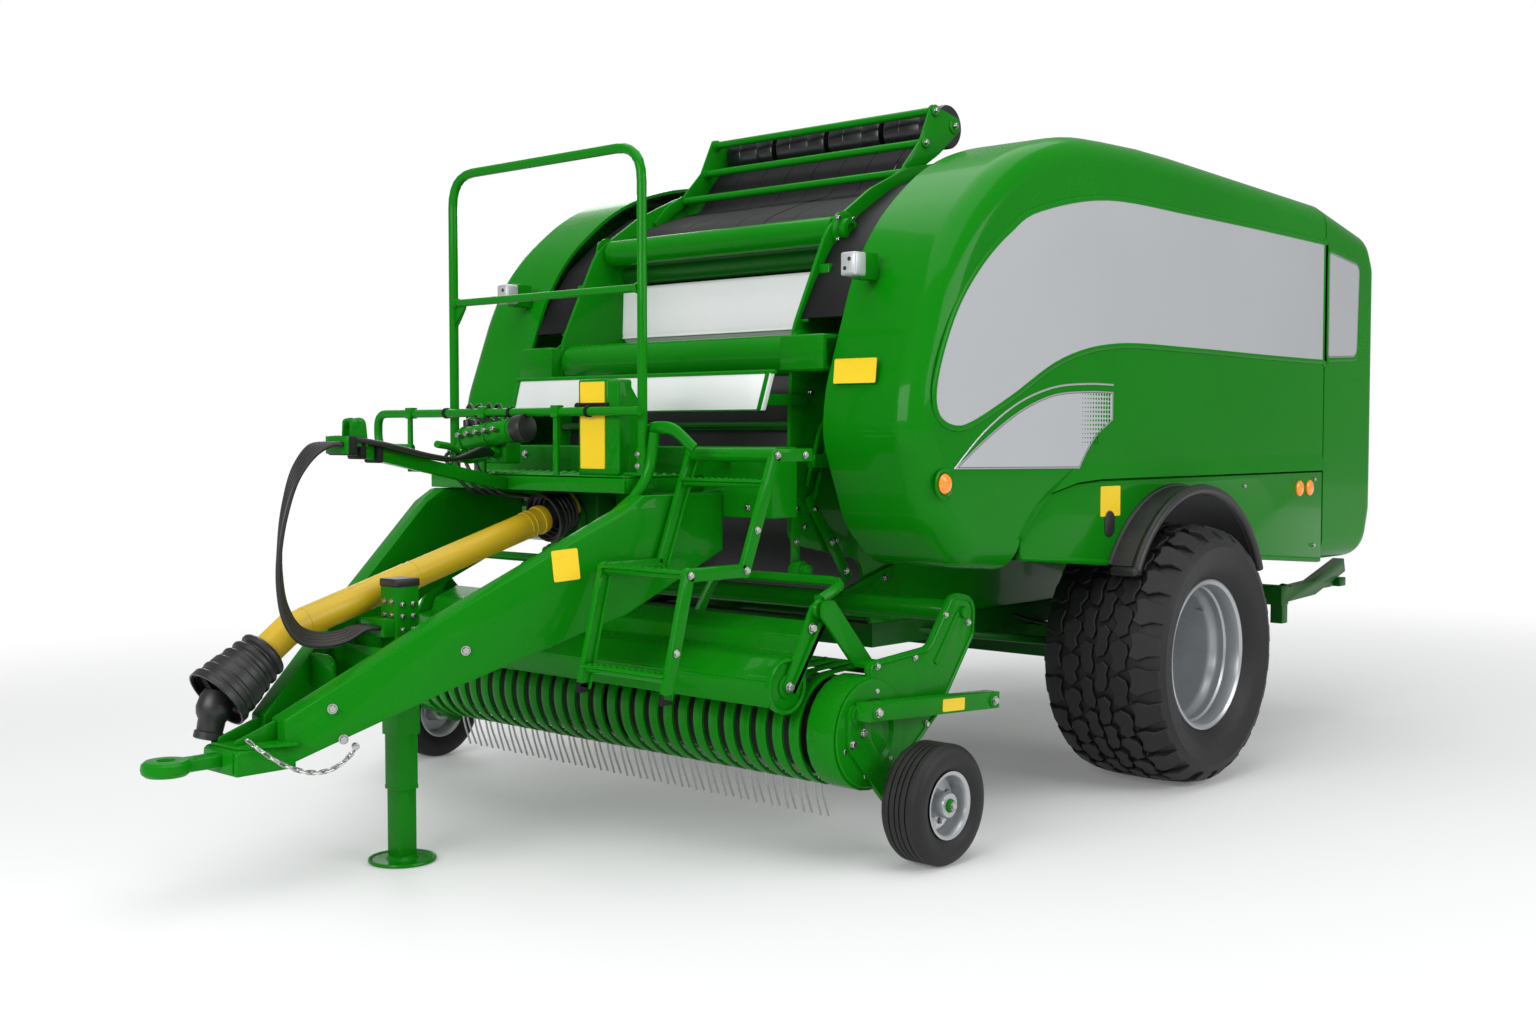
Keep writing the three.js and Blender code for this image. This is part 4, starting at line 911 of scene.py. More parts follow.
def tread_block(outline, side, phase):
    """A block cut to its outline, stood on the tyre's crown, with its edges broken."""
    pitch = math.tau / PITCHES
    scale = WHEEL_R * pitch
    flat = [(side * x, (s + phase) * scale) for x, s in outline]
    stud = break_edges(plate("block", flat, "Z", 0, BLOCK_DEPTH, 0), 2, 0.02, 0.0035, 1)
    for vertex in stud.data.vertices:
        x, length, height = vertex.co.x, vertex.co.y - SHIFT, vertex.co.z
        high = 0.0195 if abs(x) < 0.2 else 0.0215
        radius = crown(x) + (-0.006 if height < 0.001 else height / BLOCK_DEPTH * high)
        angle = length / WHEEL_R
        vertex.co = (x, radius * math.cos(angle), radius * math.sin(angle))
    return stud


def make_main_tyre(word, side):
    side_wall = [(0.292, 0.212), (0.3, 0.219), (0.316, 0.213), (0.33, 0.224), (0.352, 0.246), (0.395, 0.264),
                 (0.438, 0.2685), (0.446, 0.2715), (0.452, 0.2685), (0.476, 0.262)]
    half = side_wall + [(r - 0.002, x) for x, r in reversed(CROWN[:-2])]
    carcass = turned("carcass", both_sides(half), (side * WHEEL_X, 0, WHEEL_R), steps=96)
    seeds = [tread_block(outline, s, 0.0 if s > 0 else 0.5) for outline in TREAD for s in (1, -1)]
    seed = join("seed", seeds)
    edit(seed)
    bpy.ops.mesh.normals_make_consistent(inside=False)
    done(seed)
    centre = Matrix.Translation(at(side * WHEEL_X, 0, WHEEL_R))
    rng = random.Random(7)
    blocks = []
    for k in range(PITCHES):
        angle = math.tau * k / PITCHES + rng.uniform(-0.012, 0.012)
        blocks.append(copy(seed, centre @ Matrix.Rotation(angle, 4, "X")))
    bpy.data.objects.remove(seed)
    finished(smooth(join("tyre_" + word, [carcass, *blocks]), math.radians(28)), "wheel_" + word,
             "tyre_rubber", "main_tyre_" + word)


def make_main_rim(word, side):
    profile = [(0.302, 0.2215), (0.309, 0.2195), (0.3125, 0.213), (0.3105, 0.2075), (0.2925, 0.2065),
               (0.2915, 0.15), (0.283, 0.143), (0.28, 0.122), (0.268, 0.104), (0.2625, 0.08), (0.2615, -0.08),
               (0.283, -0.125), (0.2915, -0.15), (0.2915, -0.2065), (0.3105, -0.2075), (0.3125, -0.213),
               (0.309, -0.2195), (0.302, -0.2215), (0.29, -0.212), (0.284, -0.196), (0.283, -0.152),
               (0.274, -0.13), (0.256, -0.1), (0.11, -0.1), (0.11, -0.09), (0.245, -0.088),
               (0.2535, -0.08), (0.2555, -0.06), (0.2555, 0.078), (0.262, 0.098), (0.272, 0.114),
               (0.2745, 0.128), (0.276, 0.148), (0.2835, 0.156), (0.2845, 0.196), (0.29, 0.214)]
    x = side * WHEEL_X
    rim = turned("rim_" + word, profile, (x, 0, WHEEL_R), (side, 0, 0), steps=96)
    hub = turned("hub", [(0, -0.094), (0.112, -0.094), (0.112, -0.086), (0.098, -0.082), (0.09, -0.052),
                         (0.082, -0.044), (0.05, -0.042), (0.046, -0.034), (0, -0.032)],
                 (x, 0, WHEEL_R), (side, 0, 0), steps=48)
    rim = join("rim_" + word, [rim, hub])
    finished(rim, "wheel_" + word, "silver_paint", "main_rim_" + word)
    nuts = facing(side, WHEEL_X - 0.088, around(0, WHEEL_R, 0.145, [math.tau * k / 8 for k in range(8)]))
    bolts("wheel_nuts_" + word, nuts, "wheel_" + word, 0.016)
    finished(rod("valve_" + word, (x + side * 0.05, 0.2, WHEEL_R + 0.162),
                 (x + side * 0.1, 0.192, WHEEL_R + 0.156), 0.004, 10, 0.001), "wheel_" + word, "chrome")


def make_axle():
    """The square beam, with brake drums and stub hubs that end inside the rims' discs."""
    parts = [block("beam", (-0.96, -0.07, 0.4675), (0.96, 0.07, 0.6075), 0.006)]
    for side in (1, -1):
        parts.append(turned("drum", [(0, 1.0), (0.15, 1.0), (0.186, 1.016), (0.19, 1.024), (0.19, 1.09),
                                     (0.184, 1.1), (0.12, 1.104), (0.1, 1.112), (0.092, 1.16), (0, 1.16)],
                            (0, 0, WHEEL_R), (side, 0, 0), 48))
        parts.append(rod("stub", (side * 0.92, 0, WHEEL_R), (side * 1.168, 0, WHEEL_R), 0.09, 40))
        parts.append(plate("lever", rounded([(-0.02, 0.64, 0.02), (-0.1, 0.76, 0.03), (-0.06, 0.79, 0.03),
                                             (0.05, 0.64, 0.02)]), "X", side * 0.9, side * 0.915, 0.002))
    painted(join("axle_beam", parts), "root", "main_axle", material=SHADE_GREEN)


# ---------------- fenders and skirts
ARCH_Y, ARCH_Z, ARCH_R = 0.08, 0.62, 0.59


def make_fender(word, side):
    line = arc(ARCH_Y, ARCH_Z, ARCH_R + 0.0075, 24, 150, 40)
    band = plate("fender_" + word, ribbon(line, 0.015), "X", 0.6625, 1.396, 0.004, 2)
    lip_line = arc(ARCH_Y, ARCH_Z, ARCH_R + 0.004, 22.5, 151.5, 40)
    lip = tube("lip", [(1.398, y, z) for y, z in lip_line], 0.022, 20)
    inner = tube("inner_lip", [(1.283, y, z) for y, z in arc(ARCH_Y, ARCH_Z, ARCH_R + 0.017, 24, 150, 40)],
                 0.01, 12)
    end = lip_line[-1]
    foot = block("foot", (1.3, end[0] - 0.04, end[1] - 0.02), (1.418, end[0] + 0.022, end[1] + 0.016), 0.012,
                 4)
    cut_gate = block("cutter", (0, 0.4, 0), (CHAMBER_OUT + 0.006, 2.0, 3.0), 0.001)
    carve(band, cut_gate)
    fender = join("fender_" + word, [band, lip, inner, foot])
    smooth(fender, math.radians(40))
    if side < 0:
        flip_across(fender)
    finished(fender, "root", "black_plastic", "wheel_arch_" + word)


def make_skirt(word, side):
    skirt = detailed("side_skirt_" + word, 0.005, 3)
    face = side * (FACE - 0.013)
    front = [(face, -1.07, 0.99), (face, -0.45, 0.934), (face, -0.425, 0.932)]
    rear = [(face, 0.64, 0.902), (face, 0.8, 0.889), (face, SEAM - 0.014, 0.833)]
    rolls = [tube("roll", line, 0.016, 16, bend=0.04) for line in (front, rear)]
    skirt = join("skirt_panel_" + word, [skirt, *rolls])
    painted(skirt, "root", "side_skirt_" + word)
    for i, y in enumerate((1.293, 1.404)):
        finished(turned(f"skirt_lamp_{i}_{word}",
                        [(0, -0.002), (0.037, -0.002), (0.037, 0.006), (0.03, 0.012),
                         (0.011, 0.015), (0, 0.015)], (side * FACE, y, 1.185), (side, 0, 0), 28), "root",
                 "amber_lens")
    label("skirt_plate_" + word, (side * (FACE + 0.0005), -0.443, 1.178), (0.15, 0.12), (side, 0, 0), "root")
    oval = rounded([(-0.485, 1.035, 0.035), (-0.413, 1.035, 0.035), (-0.413, 1.14, 0.035),
                    (-0.485, 1.14, 0.035)], 32)
    finished(plate("skirt_grommet_" + word, oval, "X", side * (FACE - 0.004), side * (FACE + 0.007), 0.004,
                   3), "root", "black_plastic")
    heads = facing(side, FACE, ((1.46, 0.905), (1.46, 1.225), (0.72, 1.21), (0.8, 0.93)))
    bolts("skirt_bolts_" + word, heads, "root", 0.009)


# ---------------- front of the bale chamber
INSIDE, WALL_OUT = 0.6397, 0.6555  # half the room between the walls, and their outer faces


def roller(name, y, z, radius, node):
    """A roller tube with stepped ends."""
    half = [(0, -INSIDE), (radius * 0.55, -INSIDE), (radius * 0.6, 0.012 - INSIDE),
            (radius - 0.004, 0.013 - INSIDE), (radius, 0.018 - INSIDE)]
    painted(turned(name, both_sides(half), (0, y, z)), "root", node)


def make_chamber_front():
    roller("upper_front_roll", -1.36, 2.22, 0.056, "upper_front_roller")
    roller("lower_front_roll", -1.585, 1.74, 0.0775, "lower_front_roller")

    net = [(-1.276, 2.08), (-1.29, 2.068), (-1.298, 1.865), (-1.266, 1.839)]
    sheet = plate("net_plate", ribbon(bent(net, 0.02), 0.006), "X", 0.001 - INSIDE, INSIDE - 0.001, 0.001)
    rim = block("lower_edge", (0.004 - INSIDE, -1.304, 1.858), (INSIDE - 0.004, -1.299, 1.866), 0.001)
    finished(join("net_plate", [sheet, rim]), "root", "silver_paint", "net_guide_plate", material=PALE)

    board = rounded([(-0.73, 1.53, 0.006), (0.685, 1.53, 0.006), (0.73, 1.665, 0.006),
                     (-0.685, 1.665, 0.006)], 20)
    finished(plate("front_board", board, "Y", -1.85, -1.827, 0.002), "root", "silver_paint",
             "front_sign_board", material=PALE)
    edges = [plate("edge", [(x, 1.53), (x + 0.02, 1.53), (x + 0.065, 1.665), (x + 0.045, 1.665)], "Y",
                   -1.8525, -1.8495, 0.0008) for x in (-0.726, 0.661)]
    edges.append(block("edge", (-0.7, -1.8525, 1.5305), (0.68, -1.8495, 1.5345), 0.0008))
    edges.append(block("edge", (-0.68, -1.8525, 1.6605), (0.71, -1.8495, 1.6645), 0.0008))
    for side, _ in SIDES:
        low, high = span(side, WALL_OUT, 0.6695)
        edges.append(block("stay", (low, -1.8265, 1.55), (high, -1.58, 1.59), 0.002))
    edges.append(tube("top_roll", [(-0.7, -1.842, 1.668), (0.745, -1.842, 1.668)], 0.008, 12))
    painted(join("front_board_trim", edges), "root")

    bars = [tube("bar", [(-0.636, y, z), (0.636, y, z)], r, 28)
            for y, z, r in ((-1.64, 1.475, 0.016), (-1.255, 2.138, 0.05), (-1.3, 1.775, 0.045))]
    painted(join("chamber_cross_bars", bars), "root", material=SHADE_GREEN)


def make_wall_details(side, word):
    """What is bolted on the chamber's outer walls: bearings, pipes, brackets, a rib and a roof sheet."""
    out = side * WALL_OUT
    parts, heads = [], []
    for y, z, r in ((-1.36, 2.22, 0.07), (-1.585, 1.74, 0.094), (-1.05, 1.95, 0.075), (-1.15, 1.62, 0.075)):
        parts.append(turned("bearing", [(0, 0), (r, 0), (r, 0.01), (r * 0.86, 0.016), (r * 0.62, 0.018),
                                        (r * 0.58, 0.04), (r * 0.34, 0.044), (r * 0.3, 0.036), (0, 0.036)],
                            (out, y, z), (side, 0, 0), 36))
        heads += facing(side, WALL_OUT + 0.012, around(y, z, r * 0.84, (0.8, 2.4, 3.9, 5.5)))
    for line in (((-1.6, 1.25), (-1.52, 1.48), (-1.36, 1.62), (-1.3, 1.92), (-1.12, 2.14)),
                 ((-1.56, 1.2), (-1.46, 1.46), (-1.24, 1.58), (-1.18, 1.8), (-0.95, 2.02), (-0.7, 2.08))):
        parts.append(tube("pipe", [(out + side * 0.028, y, z) for y, z in line], 0.008, 10, bend=0.05))
    lo, hi = span(side, WALL_OUT, WALL_OUT + 0.05)
    for low, high in (((-1.5, 1.9), (-1.44, 2.08)), ((-1.02, 2.22), (-0.8, 2.26)),
                      ((-1.58, 1.32), (-1.3, 1.37))):
        parts.append(block("bracket", (lo, *low), (hi, *high), 0.004))
    parts.append(plate("rib", ribbon([(-1.6, 1.86), (-1.42, 2.1), (-1.2, 2.26), (-0.98, 2.36)], 0.012), "X",
                       out, out + side * 0.034, 0.002))
    painted(join("wall_fittings_" + word, parts), "root")
    heads += facing(side, WALL_OUT + 0.001, (
        (-1.58, 1.1), (-1.4, 1.04), (-1.55, 1.6), (-1.36, 2.05), (-1.22, 2.16), (-0.9, 2.32),
        (-0.72, 2.4), (-1.0, 1.5), (-1.3, 1.26)))
    bolts("wall_bolts_" + word, heads, "root", 0.01)

    edge = side * 0.848
    lo, hi = span(side, WALL_OUT + 0.002, 0.848)
    housing = block("roller_bearing_box_" + word, (lo, -1.7, 1.672), (hi, -1.5, 1.808), 0.018, 4)
    cap = rod("cap", (edge - side * 0.03, -1.6, 1.74), (edge - side * 0.002, -1.6, 1.74), 0.058, 32, 0.006)
    painted(join("roller_bearing_box_" + word, [housing, cap]), "root")

    lo, hi = span(side, 0.72, 0.826)
    painted(block("cover_roof_" + word, (lo, -0.6, 2.54), (hi, 1.5, 2.552), 0.003), "root",
            material=SHADE_GREEN)


def make_front_lamps():
    """White lamps on both covers' front lips, and a blank plate under the left one."""
    for side, word in SIDES:
        x0, x1 = span(side, 0.928, 0.998)
        lamp = block("lip_lamp_" + word, (x0, -1.704, 2.004), (x1, -1.64, 2.088), 0.009, 4)
        glass = block("glass", (x0 + 0.007, -1.7075, 2.011), (x1 - 0.007, -1.7, 2.081), 0.003, 2)
        lamp = join("lip_lamp_" + word, [lamp, glass])
        finished(lamp, "door_" + word, "clear_lens")
        middle = (x0 + x1) / 2
        spots = [rod("spot", (x, -1.7072, z), (x, -1.7092, z), 0.0075, 16, 0.0006)
                 for x, z in ((middle + 0.01, 2.062), (middle - 0.01, 2.03))]
        finished(join("lip_lamp_spots_" + word, spots), "door_" + word, "black_plastic")
        painted(block("lip_lamp_seat_" + word, (x0 + 0.01, -1.655, 1.995), (x1 - 0.01, -1.56, 2.092), 0.004),
                "door_" + word)
    label("lip_plate", (1.0, -1.7065, 1.668), (0.19, 0.088), (0, -1, 0.1), "door_left")


# ---------------- wrap roll magazine
ROLL_Y, ROLL_Z, ROLL_R, ROLL_HALF = -0.6, 2.718, 0.092, 0.609
BARS = ((-0.735, 2.762), (-0.8, 2.625), (-0.93, 2.49))


def make_magazine():
    pitch = ROLL_HALF / 2
    rolls = []
    for k in range(4):
        x0 = -ROLL_HALF + k * pitch + 0.012
        length = pitch - 0.024
        r = ROLL_R - 0.0015
        profile = [(0.028, 0.004), (r - 0.012, 0.0), (r - 0.003, 0.002), (r, 0.008), (r, length * 0.3),
                   (r - 0.0018, length * 0.31), (r, length * 0.32), (r, length * 0.66),
                   (r - 0.0015, length * 0.67), (r, length * 0.68), (r, length - 0.008),
                   (r - 0.003, length - 0.002), (r - 0.012, length), (0.028, length - 0.004)]
        rolls.append(turned("roll", profile, (x0, ROLL_Y, ROLL_Z), steps=64))
    rolls.append(rod("core", (-0.613, ROLL_Y, ROLL_Z), (0.613, ROLL_Y, ROLL_Z), 0.0275, 24))
    finished(join("film_rolls", rolls), "root", "black_film", "wrap_rolls")

    parts = []
    for s in (1, -1):
        lo, hi = span(s, 0.6135, 0.6225)
        parts.append(plate("cheek", rounded([(-0.56, 2.7, 0.008), (-0.56, 2.75, 0.02), (-0.755, 2.788, 0.02),
                                             (-0.834, 2.625, 0.02), (-0.956, 2.5, 0.02), (-0.91, 2.464, 0.02),
                                             (-0.7, 2.59, 0.02)], 40), "X", lo, hi, 0.002))
        parts.append(rod("boss", (s * 0.606, ROLL_Y, ROLL_Z), (s * 0.628, ROLL_Y, ROLL_Z), 0.034, 24, 0.003))
        for y, z in BARS[:2]:
            parts.append(rod("collar", (s * 0.604, y, z), (s * 0.63, y, z), 0.024, 24, 0.003))
        # a short stay that runs down the chamber's wall
        parts.append(plate("stay", ribbon(bent([(-0.93, 2.49), (-1.02, 2.44), (-1.1, 2.36)], 0.03), 0.05),
                           "X", s * 0.624, s * 0.634, 0.002))
    for (y, z), half in zip(BARS, (0.618, 0.618, 0.639)):
        parts.append(tube("bar", [(-half, y, z), (half, y, z)], 0.0165, 18))
    painted(join("magazine_frame", parts), "root", "roll_magazine_frame")
    spots = ((ROLL_Y, ROLL_Z), *BARS[:2])
    bolts("magazine_bolts", facing(1, 0.6285, spots) + facing(-1, 0.6285, spots), "root")

    # the mat hangs in flaps with a narrow slit between them
    line = bent([(-0.69, 2.65), (-0.78, 2.56), (-0.83, 2.45), (-1.01, 2.4), (-1.2, 2.33),
                 (-1.262, 2.29)], 0.05)
    flaps = []
    rng = random.Random(3)
    count = 8
    width = 2 * 0.612 / count
    for k in range(count):
        lift = rng.uniform(-0.003, 0.003)
        shape = ribbon([(y + lift, z + lift) for y, z in line], 0.006)
        x0 = -0.612 + k * width
        flaps.append(plate("flap", shape, "X", x0 + 0.0015, x0 + width - 0.0015, 0.0012, 1))
    finished(join("curtain_flaps", flaps), "root", "black_rubber", "roll_curtain")


# ---------------- drawbar, hitch and jack
def make_drawbar():
    painted(detailed("drawbar", 0.007, 3), "root", "drawbar")
    half = [(0.0275, -0.021), (0.0285, -0.0235), (0.04, -0.025), (0.062, -0.023), (0.072, -0.014),
            (0.075, 0.0)]
    ring = turned("ring", both_sides(half), (0, -3.776, 0.435), (0, 0, 1), 56)
    neck = plate("neck", rounded([(-0.029, -3.722, 0), (-0.024, -3.69, 0.02), (-0.029, -3.6003, 0),
                                  (0.029, -3.6003, 0), (0.024, -3.69, 0.02), (0.029, -3.722, 0)], 24),
                 "Z", 0.413, 0.457, 0.01, 4)
    painted(join("hitch_ring", [ring, neck]), "root", "hitch_eye")

    extras, heads = [], []
    extras.append(block("nose_plate", (-0.085, -3.606, 0.398), (0.085, -3.598, 0.463), 0.003))
    extras.append(plate("gusset", rounded([(-0.085, -3.585, 0.02), (0.085, -3.585, 0.02),
                                           (0.15, -3.395, 0.02), (-0.15, -3.395, 0.02)], 24), "Z", 0.47, 0.48,
                        0.002))
    for s in (1, -1):
        extras.append(plate("fin", rounded([(-3.575, 0.475, 0.01), (-3.575, 0.495, 0.01),
                                            (-3.43, 0.545, 0.01), (-3.43, 0.475, 0)], 20), "X",
                            s * 0.05 - 0.004, s * 0.05 + 0.004, 0.002))
        for y, z in ((-3.3, 0.575), (-3.27, 0.475), (-2.92, 0.74)):
            x = 0.1 + 0.5 * (y + 3.43)
            heads.append(((s * (x + 0.0005), y, z), (s, -0.5, 0)))
    extras.append(block("cross_plate", (-0.27, -3.075, 0.6), (0.27, -3.063, 0.74), 0.003))
    extras.append(plate("cradle", rounded([(-0.19, 0.6, 0.02), (-0.01, 0.6, 0.02), (-0.02, 0.7, 0.03),
                                           (-0.06, 0.715, 0.03), (-0.14, 0.715, 0.03), (-0.18, 0.7, 0.03)],
                                          32),
                        "Y", -3.18, -3.165, 0.003))
    painted(join("drawbar_gussets", extras), "root")
    bolts("drawbar_bolts", heads, "root", 0.013)
    rear_x = 0.1 + 0.5 * (-2.62 + 3.43)
    label("drawbar_plate", (rear_x + 0.001, -2.62, 1.01), (0.09, 0.105), (1, -0.5, 0), "root", slant=0.1)


def make_chain():
    """A short safety chain that sags from the head to the outer side of the left beam."""
    start, end = at(0.1, -3.565, 0.505), at(0.205, -3.24, 0.448)
    count = 17
    seed_points = [(0.0, 0.006 * math.cos(a), 0.011 * math.sin(a) + 0.006 * (1 if math.sin(a) > 0 else -1))
                   for a in (math.tau * (k + 0.5) / 12 for k in range(12))]
    seed = tube("link", [(x, y - SHIFT, z) for x, y, z in seed_points], 0.0032, 8, closed=True)
    links = []
    line = []
    for k in range(count + 1):
        t = k / count
        point = start.lerp(end, t)
        point.z -= 0.085 * 4 * t * (1 - t)
        point.x += 0.05 * 4 * t * (1 - t)
        line.append(point)
    for k, (a, b) in enumerate(zip(line, line[1:])):
        turn = Matrix.Rotation(math.radians(90 * (k % 2) + 20), 4, "Z")
        links.append(copy(seed, along(b - a, (a + b) / 2) @ turn))
    bpy.data.objects.remove(seed)
    shackle = rod("shackle", (0.198, -3.24, 0.452), (0.215, -3.246, 0.452), 0.012, 16, 0.002)
    finished(join("safety_chain", [*links, shackle]), "root", "chrome")


def make_jack():
    x, y = 0.04, -2.952
    sleeve = detailed("jack_sleeve", 0.005, 3)
    cap = block("jack_cap", (x - 0.049, y - 0.049, 0.934), (x + 0.049, y + 0.049, 0.962), 0.006, 3)
    painted(sleeve, "root", "jack_sleeve")
    finished(cap, "root", "black_plastic")
    heads = [((x + 0.0452, y + dy, z), (1, 0, 0)) for dy in (-0.02, 0.022)
             for z in (0.875, 0.835, 0.79, 0.735)]
    heads += [((x + dx, y - 0.0452, z), (0, -1, 0)) for dx in (-0.02, 0.02) for z in (0.885, 0.84)]
    bolts("jack_bolts", heads, "root", 0.009)

    foot = turned("foot", [(0, 0.0), (0.104, 0.0), (0.112, 0.001), (0.115, 0.006), (0.113, 0.012),
                           (0.106, 0.0115), (0.1, 0.0075), (0.06, 0.0085), (0.0, 0.009)], (x, y, 0),
                  (0, 0, 1), 56)
    lower = block("lower", (x - 0.036, y - 0.036, 0.006), (x + 0.036, y + 0.036, 0.254), 0.006, 3)
    upper = block("upper", (x - 0.0403, y - 0.0403, 0.25), (x + 0.0403, y + 0.0403, 0.6), 0.006, 3)
    collar = block("collar", (x - 0.0406, y - 0.0406, 0.246), (x + 0.0406, y + 0.0406, 0.262), 0.003, 2)
    weld = turned("weld", [(0.034, 0.006), (0.056, 0.008), (0.046, 0.02), (0.034, 0.022)], (x, y, 0),
                  (0, 0, 1), 24)
    painted(join("jack_foot_leg", [foot, lower, upper, collar, weld]), "jack_leg", "jack_leg")


# ---------------- crossbeam, deck, rails, box, ladder
DECK_TOP, BEAM_FRONT = 1.3003, -1.9605


def make_deck():
    """The crossbeam, the deck on it and the low rail along the deck's front."""
    painted(detailed("front_crossbeam", 0.008, 3), "root", "front_crossbeam")
    heads = [((s * x, BEAM_FRONT + 0.0003, z), (0, -1, 0)) for s in (1, -1) for x in (0.5, 0.72, 0.8)
             for z in (1.185, 1.365)]
    bolts("crossbeam_bolts", heads, "root", 0.012)

    plate_low, plate_high = (-0.6, -2.35, 1.289), (0.5, BEAM_FRONT, 1.3)
    parts = [block("deck", plate_low, plate_high, 0.003)]
    parts.append(block("fold", (-0.6, -2.35, 1.24), (0.5, -2.339, 1.299), 0.003))
    for x in (-0.6, 0.488):
        parts.append(block("rib", (x, -2.345, 1.24), (x + 0.012, BEAM_FRONT, 1.297), 0.002))
    grid = [(-0.56 + 0.05 * i, -2.3 + 0.05 * j) for i in range(21) for j in range(7)]
    parts += [rod("stud", (x, y, 1.2995), (x, y, 1.3035), 0.011, 8, 0, tip=0.006) for x, y in grid]
    rail_y, rail_z, low, end, left = -2.332, 1.525, 1.39, -0.976, 0.56
    parts.append(tube("rail", [(-0.75, rail_y, low), (end, rail_y, low), (end, rail_y, rail_z),
                               (left, rail_y, rail_z)], 0.0168, 18, bend=0.055))
    for x in (-0.76, -0.3, 0.12):
        parts.append(plate("post", rounded([(x, 1.296, 0), (x + 0.026, 1.296, 0), (x + 0.024, 1.53, 0.01),
                                            (x + 0.002, 1.53, 0.01)], 16), "Y", rail_y - 0.014,
                           rail_y - 0.002, 0.002))
        parts.append(block("clip", (x - 0.006, rail_y - 0.021, 1.505), (x + 0.032, rail_y + 0.014, 1.549),
                           0.004))
    parts.append(block("outrigger", (-0.76, rail_y - 0.014, 1.296), (-0.54, rail_y + 0.014, 1.33), 0.003))
    painted(join("service_deck", parts), "root", "platform_deck")
    ties = [turned("tie", both_sides([(0.0175, -0.007), (0.021, -0.007)]), (x, rail_y, rail_z), steps=24)
            for x in (-0.52, -0.13, 0.3)]
    finished(join("rail_ties", ties), "root", "black_rubber")


def make_hand_rail():
    y, left, right, top, mid, radius = -2.28, 0.52, -0.54, 2.44, 1.95, 0.0178
    hoop = tube("hoop", [(right, y, 1.301), (right, y, top), (left, y, top), (left, y, 1.301)], radius, 20,
                bend=0.125)
    cross = tube("cross", [(right, y, mid), (left, y, mid)], 0.0148, 18)
    feet = [block("shoe", (right - 0.032, y - 0.024, DECK_TOP), (right + 0.032, y + 0.024, 1.311), 0.003),
            block("shoe", (0.44, y - 0.02, DECK_TOP), (0.538, y + 0.02, 1.312), 0.003)]
    sockets = [tube("socket", [(x, y, 1.305), (x, y, 1.4)], 0.0215, 20) for x in (right, left)]
    gusset = plate("gusset", rounded([(-0.525, 1.942, 0), (-0.455, 1.942, 0.01), (-0.515, 1.86, 0.03),
                                      (-0.525, 1.86, 0)], 24), "Y", y - 0.004, y + 0.004, 0.001)
    knees = [turned("weld", [(0.015, -0.004), (0.0205, -0.004), (0.0185, 0.012), (0.015, 0.014)],
                    (x, y, mid), (way, 0, 0), 18) for x, way in ((right + 0.016, 1), (left - 0.016, -1))]
    painted(join("hand_rail", [hoop, cross, gusset, *feet, *sockets, *knees]), "root",
            "guard_handrail")
    heads = [((x, y - 0.0215, z), (0, -1, 0)) for x in (right, left) for z in (1.335, 1.375)]
    bolts("hand_rail_bolts", heads, "root", 0.009)


def make_front_links():
    """Straps and braces on the crossbeam's arms, down to the pickup's pivot beam, with short cross shafts."""
    parts, heads = [], []
    for s, _ in SIDES:
        for x, top, foot, width in ((0.6698, (-1.655, 1.215), (-1.655, 0.91), 0.044),
                                    (0.671, (-1.585, 1.215), (-1.345, 0.89), 0.05)):
            low, high = span(s, x, x + 0.01)
            parts.append(plate("link", ribbon([top, foot], width), "X", low, high, 0.003))
            line = Vector(foot) - Vector(top)
            heads += facing(s, x + 0.0105, [Vector(top) + line * share for share in (0.15, 0.55, 0.9)])
        parts.append(rod("shaft", (s * 0.656, -1.655, 0.945), (s * 0.745, -1.655, 0.945), 0.021, 24, 0.003))
        parts.append(rod("boss", (s * 0.672, -1.655, 0.945), (s * 0.715, -1.655, 0.945), 0.034, 28, 0.004))
    painted(join("front_links", parts), "root")
    bolts("front_link_bolts", heads, "root", 0.01)


def make_control_box():
    x0, x1, y0, y1, z0, z1 = 0.215, 0.43, -2.312, -2.19, DECK_TOP, 1.64
    shell = block("control_housing", (x0, y0 + 0.004, z0), (x1 - 0.055, y1, z1), 0.01, 4)
    side = plate("side", rounded([(y0 + 0.004, z0, 0.01), (y1, z0, 0.01), (y1, z1 - 0.1, 0.03),
                                  (y0 + 0.055, z1 - 0.012, 0.02), (y0 + 0.004, z1 - 0.004, 0.01)], 32), "X",
                 x1 - 0.06, x1, 0.006, 3)
    skirt = block("skirt", (x0 + 0.004, y0 + 0.002, z0), (x1 - 0.004, y1 - 0.004, z0 + 0.03), 0.004)
    painted(join("control_housing", [shell, side, skirt]), "root", "control_box")
    label("control_plate_upper", ((x0 + x1 - 0.055) / 2, y0 + 0.0035, 1.59), (0.128, 0.08), (0, -1, 0),
          "root")
    label("control_plate_lower", ((x0 + x1 - 0.055) / 2, y0 + 0.0035, 1.418), (0.128, 0.19), (0, -1, 0),
          "root")
    strap = block("strap", (x0 - 0.004, y0 - 0.004, 1.53), (x1 - 0.051, y0 + 0.006, 1.556), 0.003)
    knob = rod("knob", (x0 + 0.02, y0 - 0.02, 1.543), (x0 + 0.02, y0, 1.543), 0.014, 20, 0.003)
    finished(join("control_strap", [strap, knob]), "root", "black_rubber")


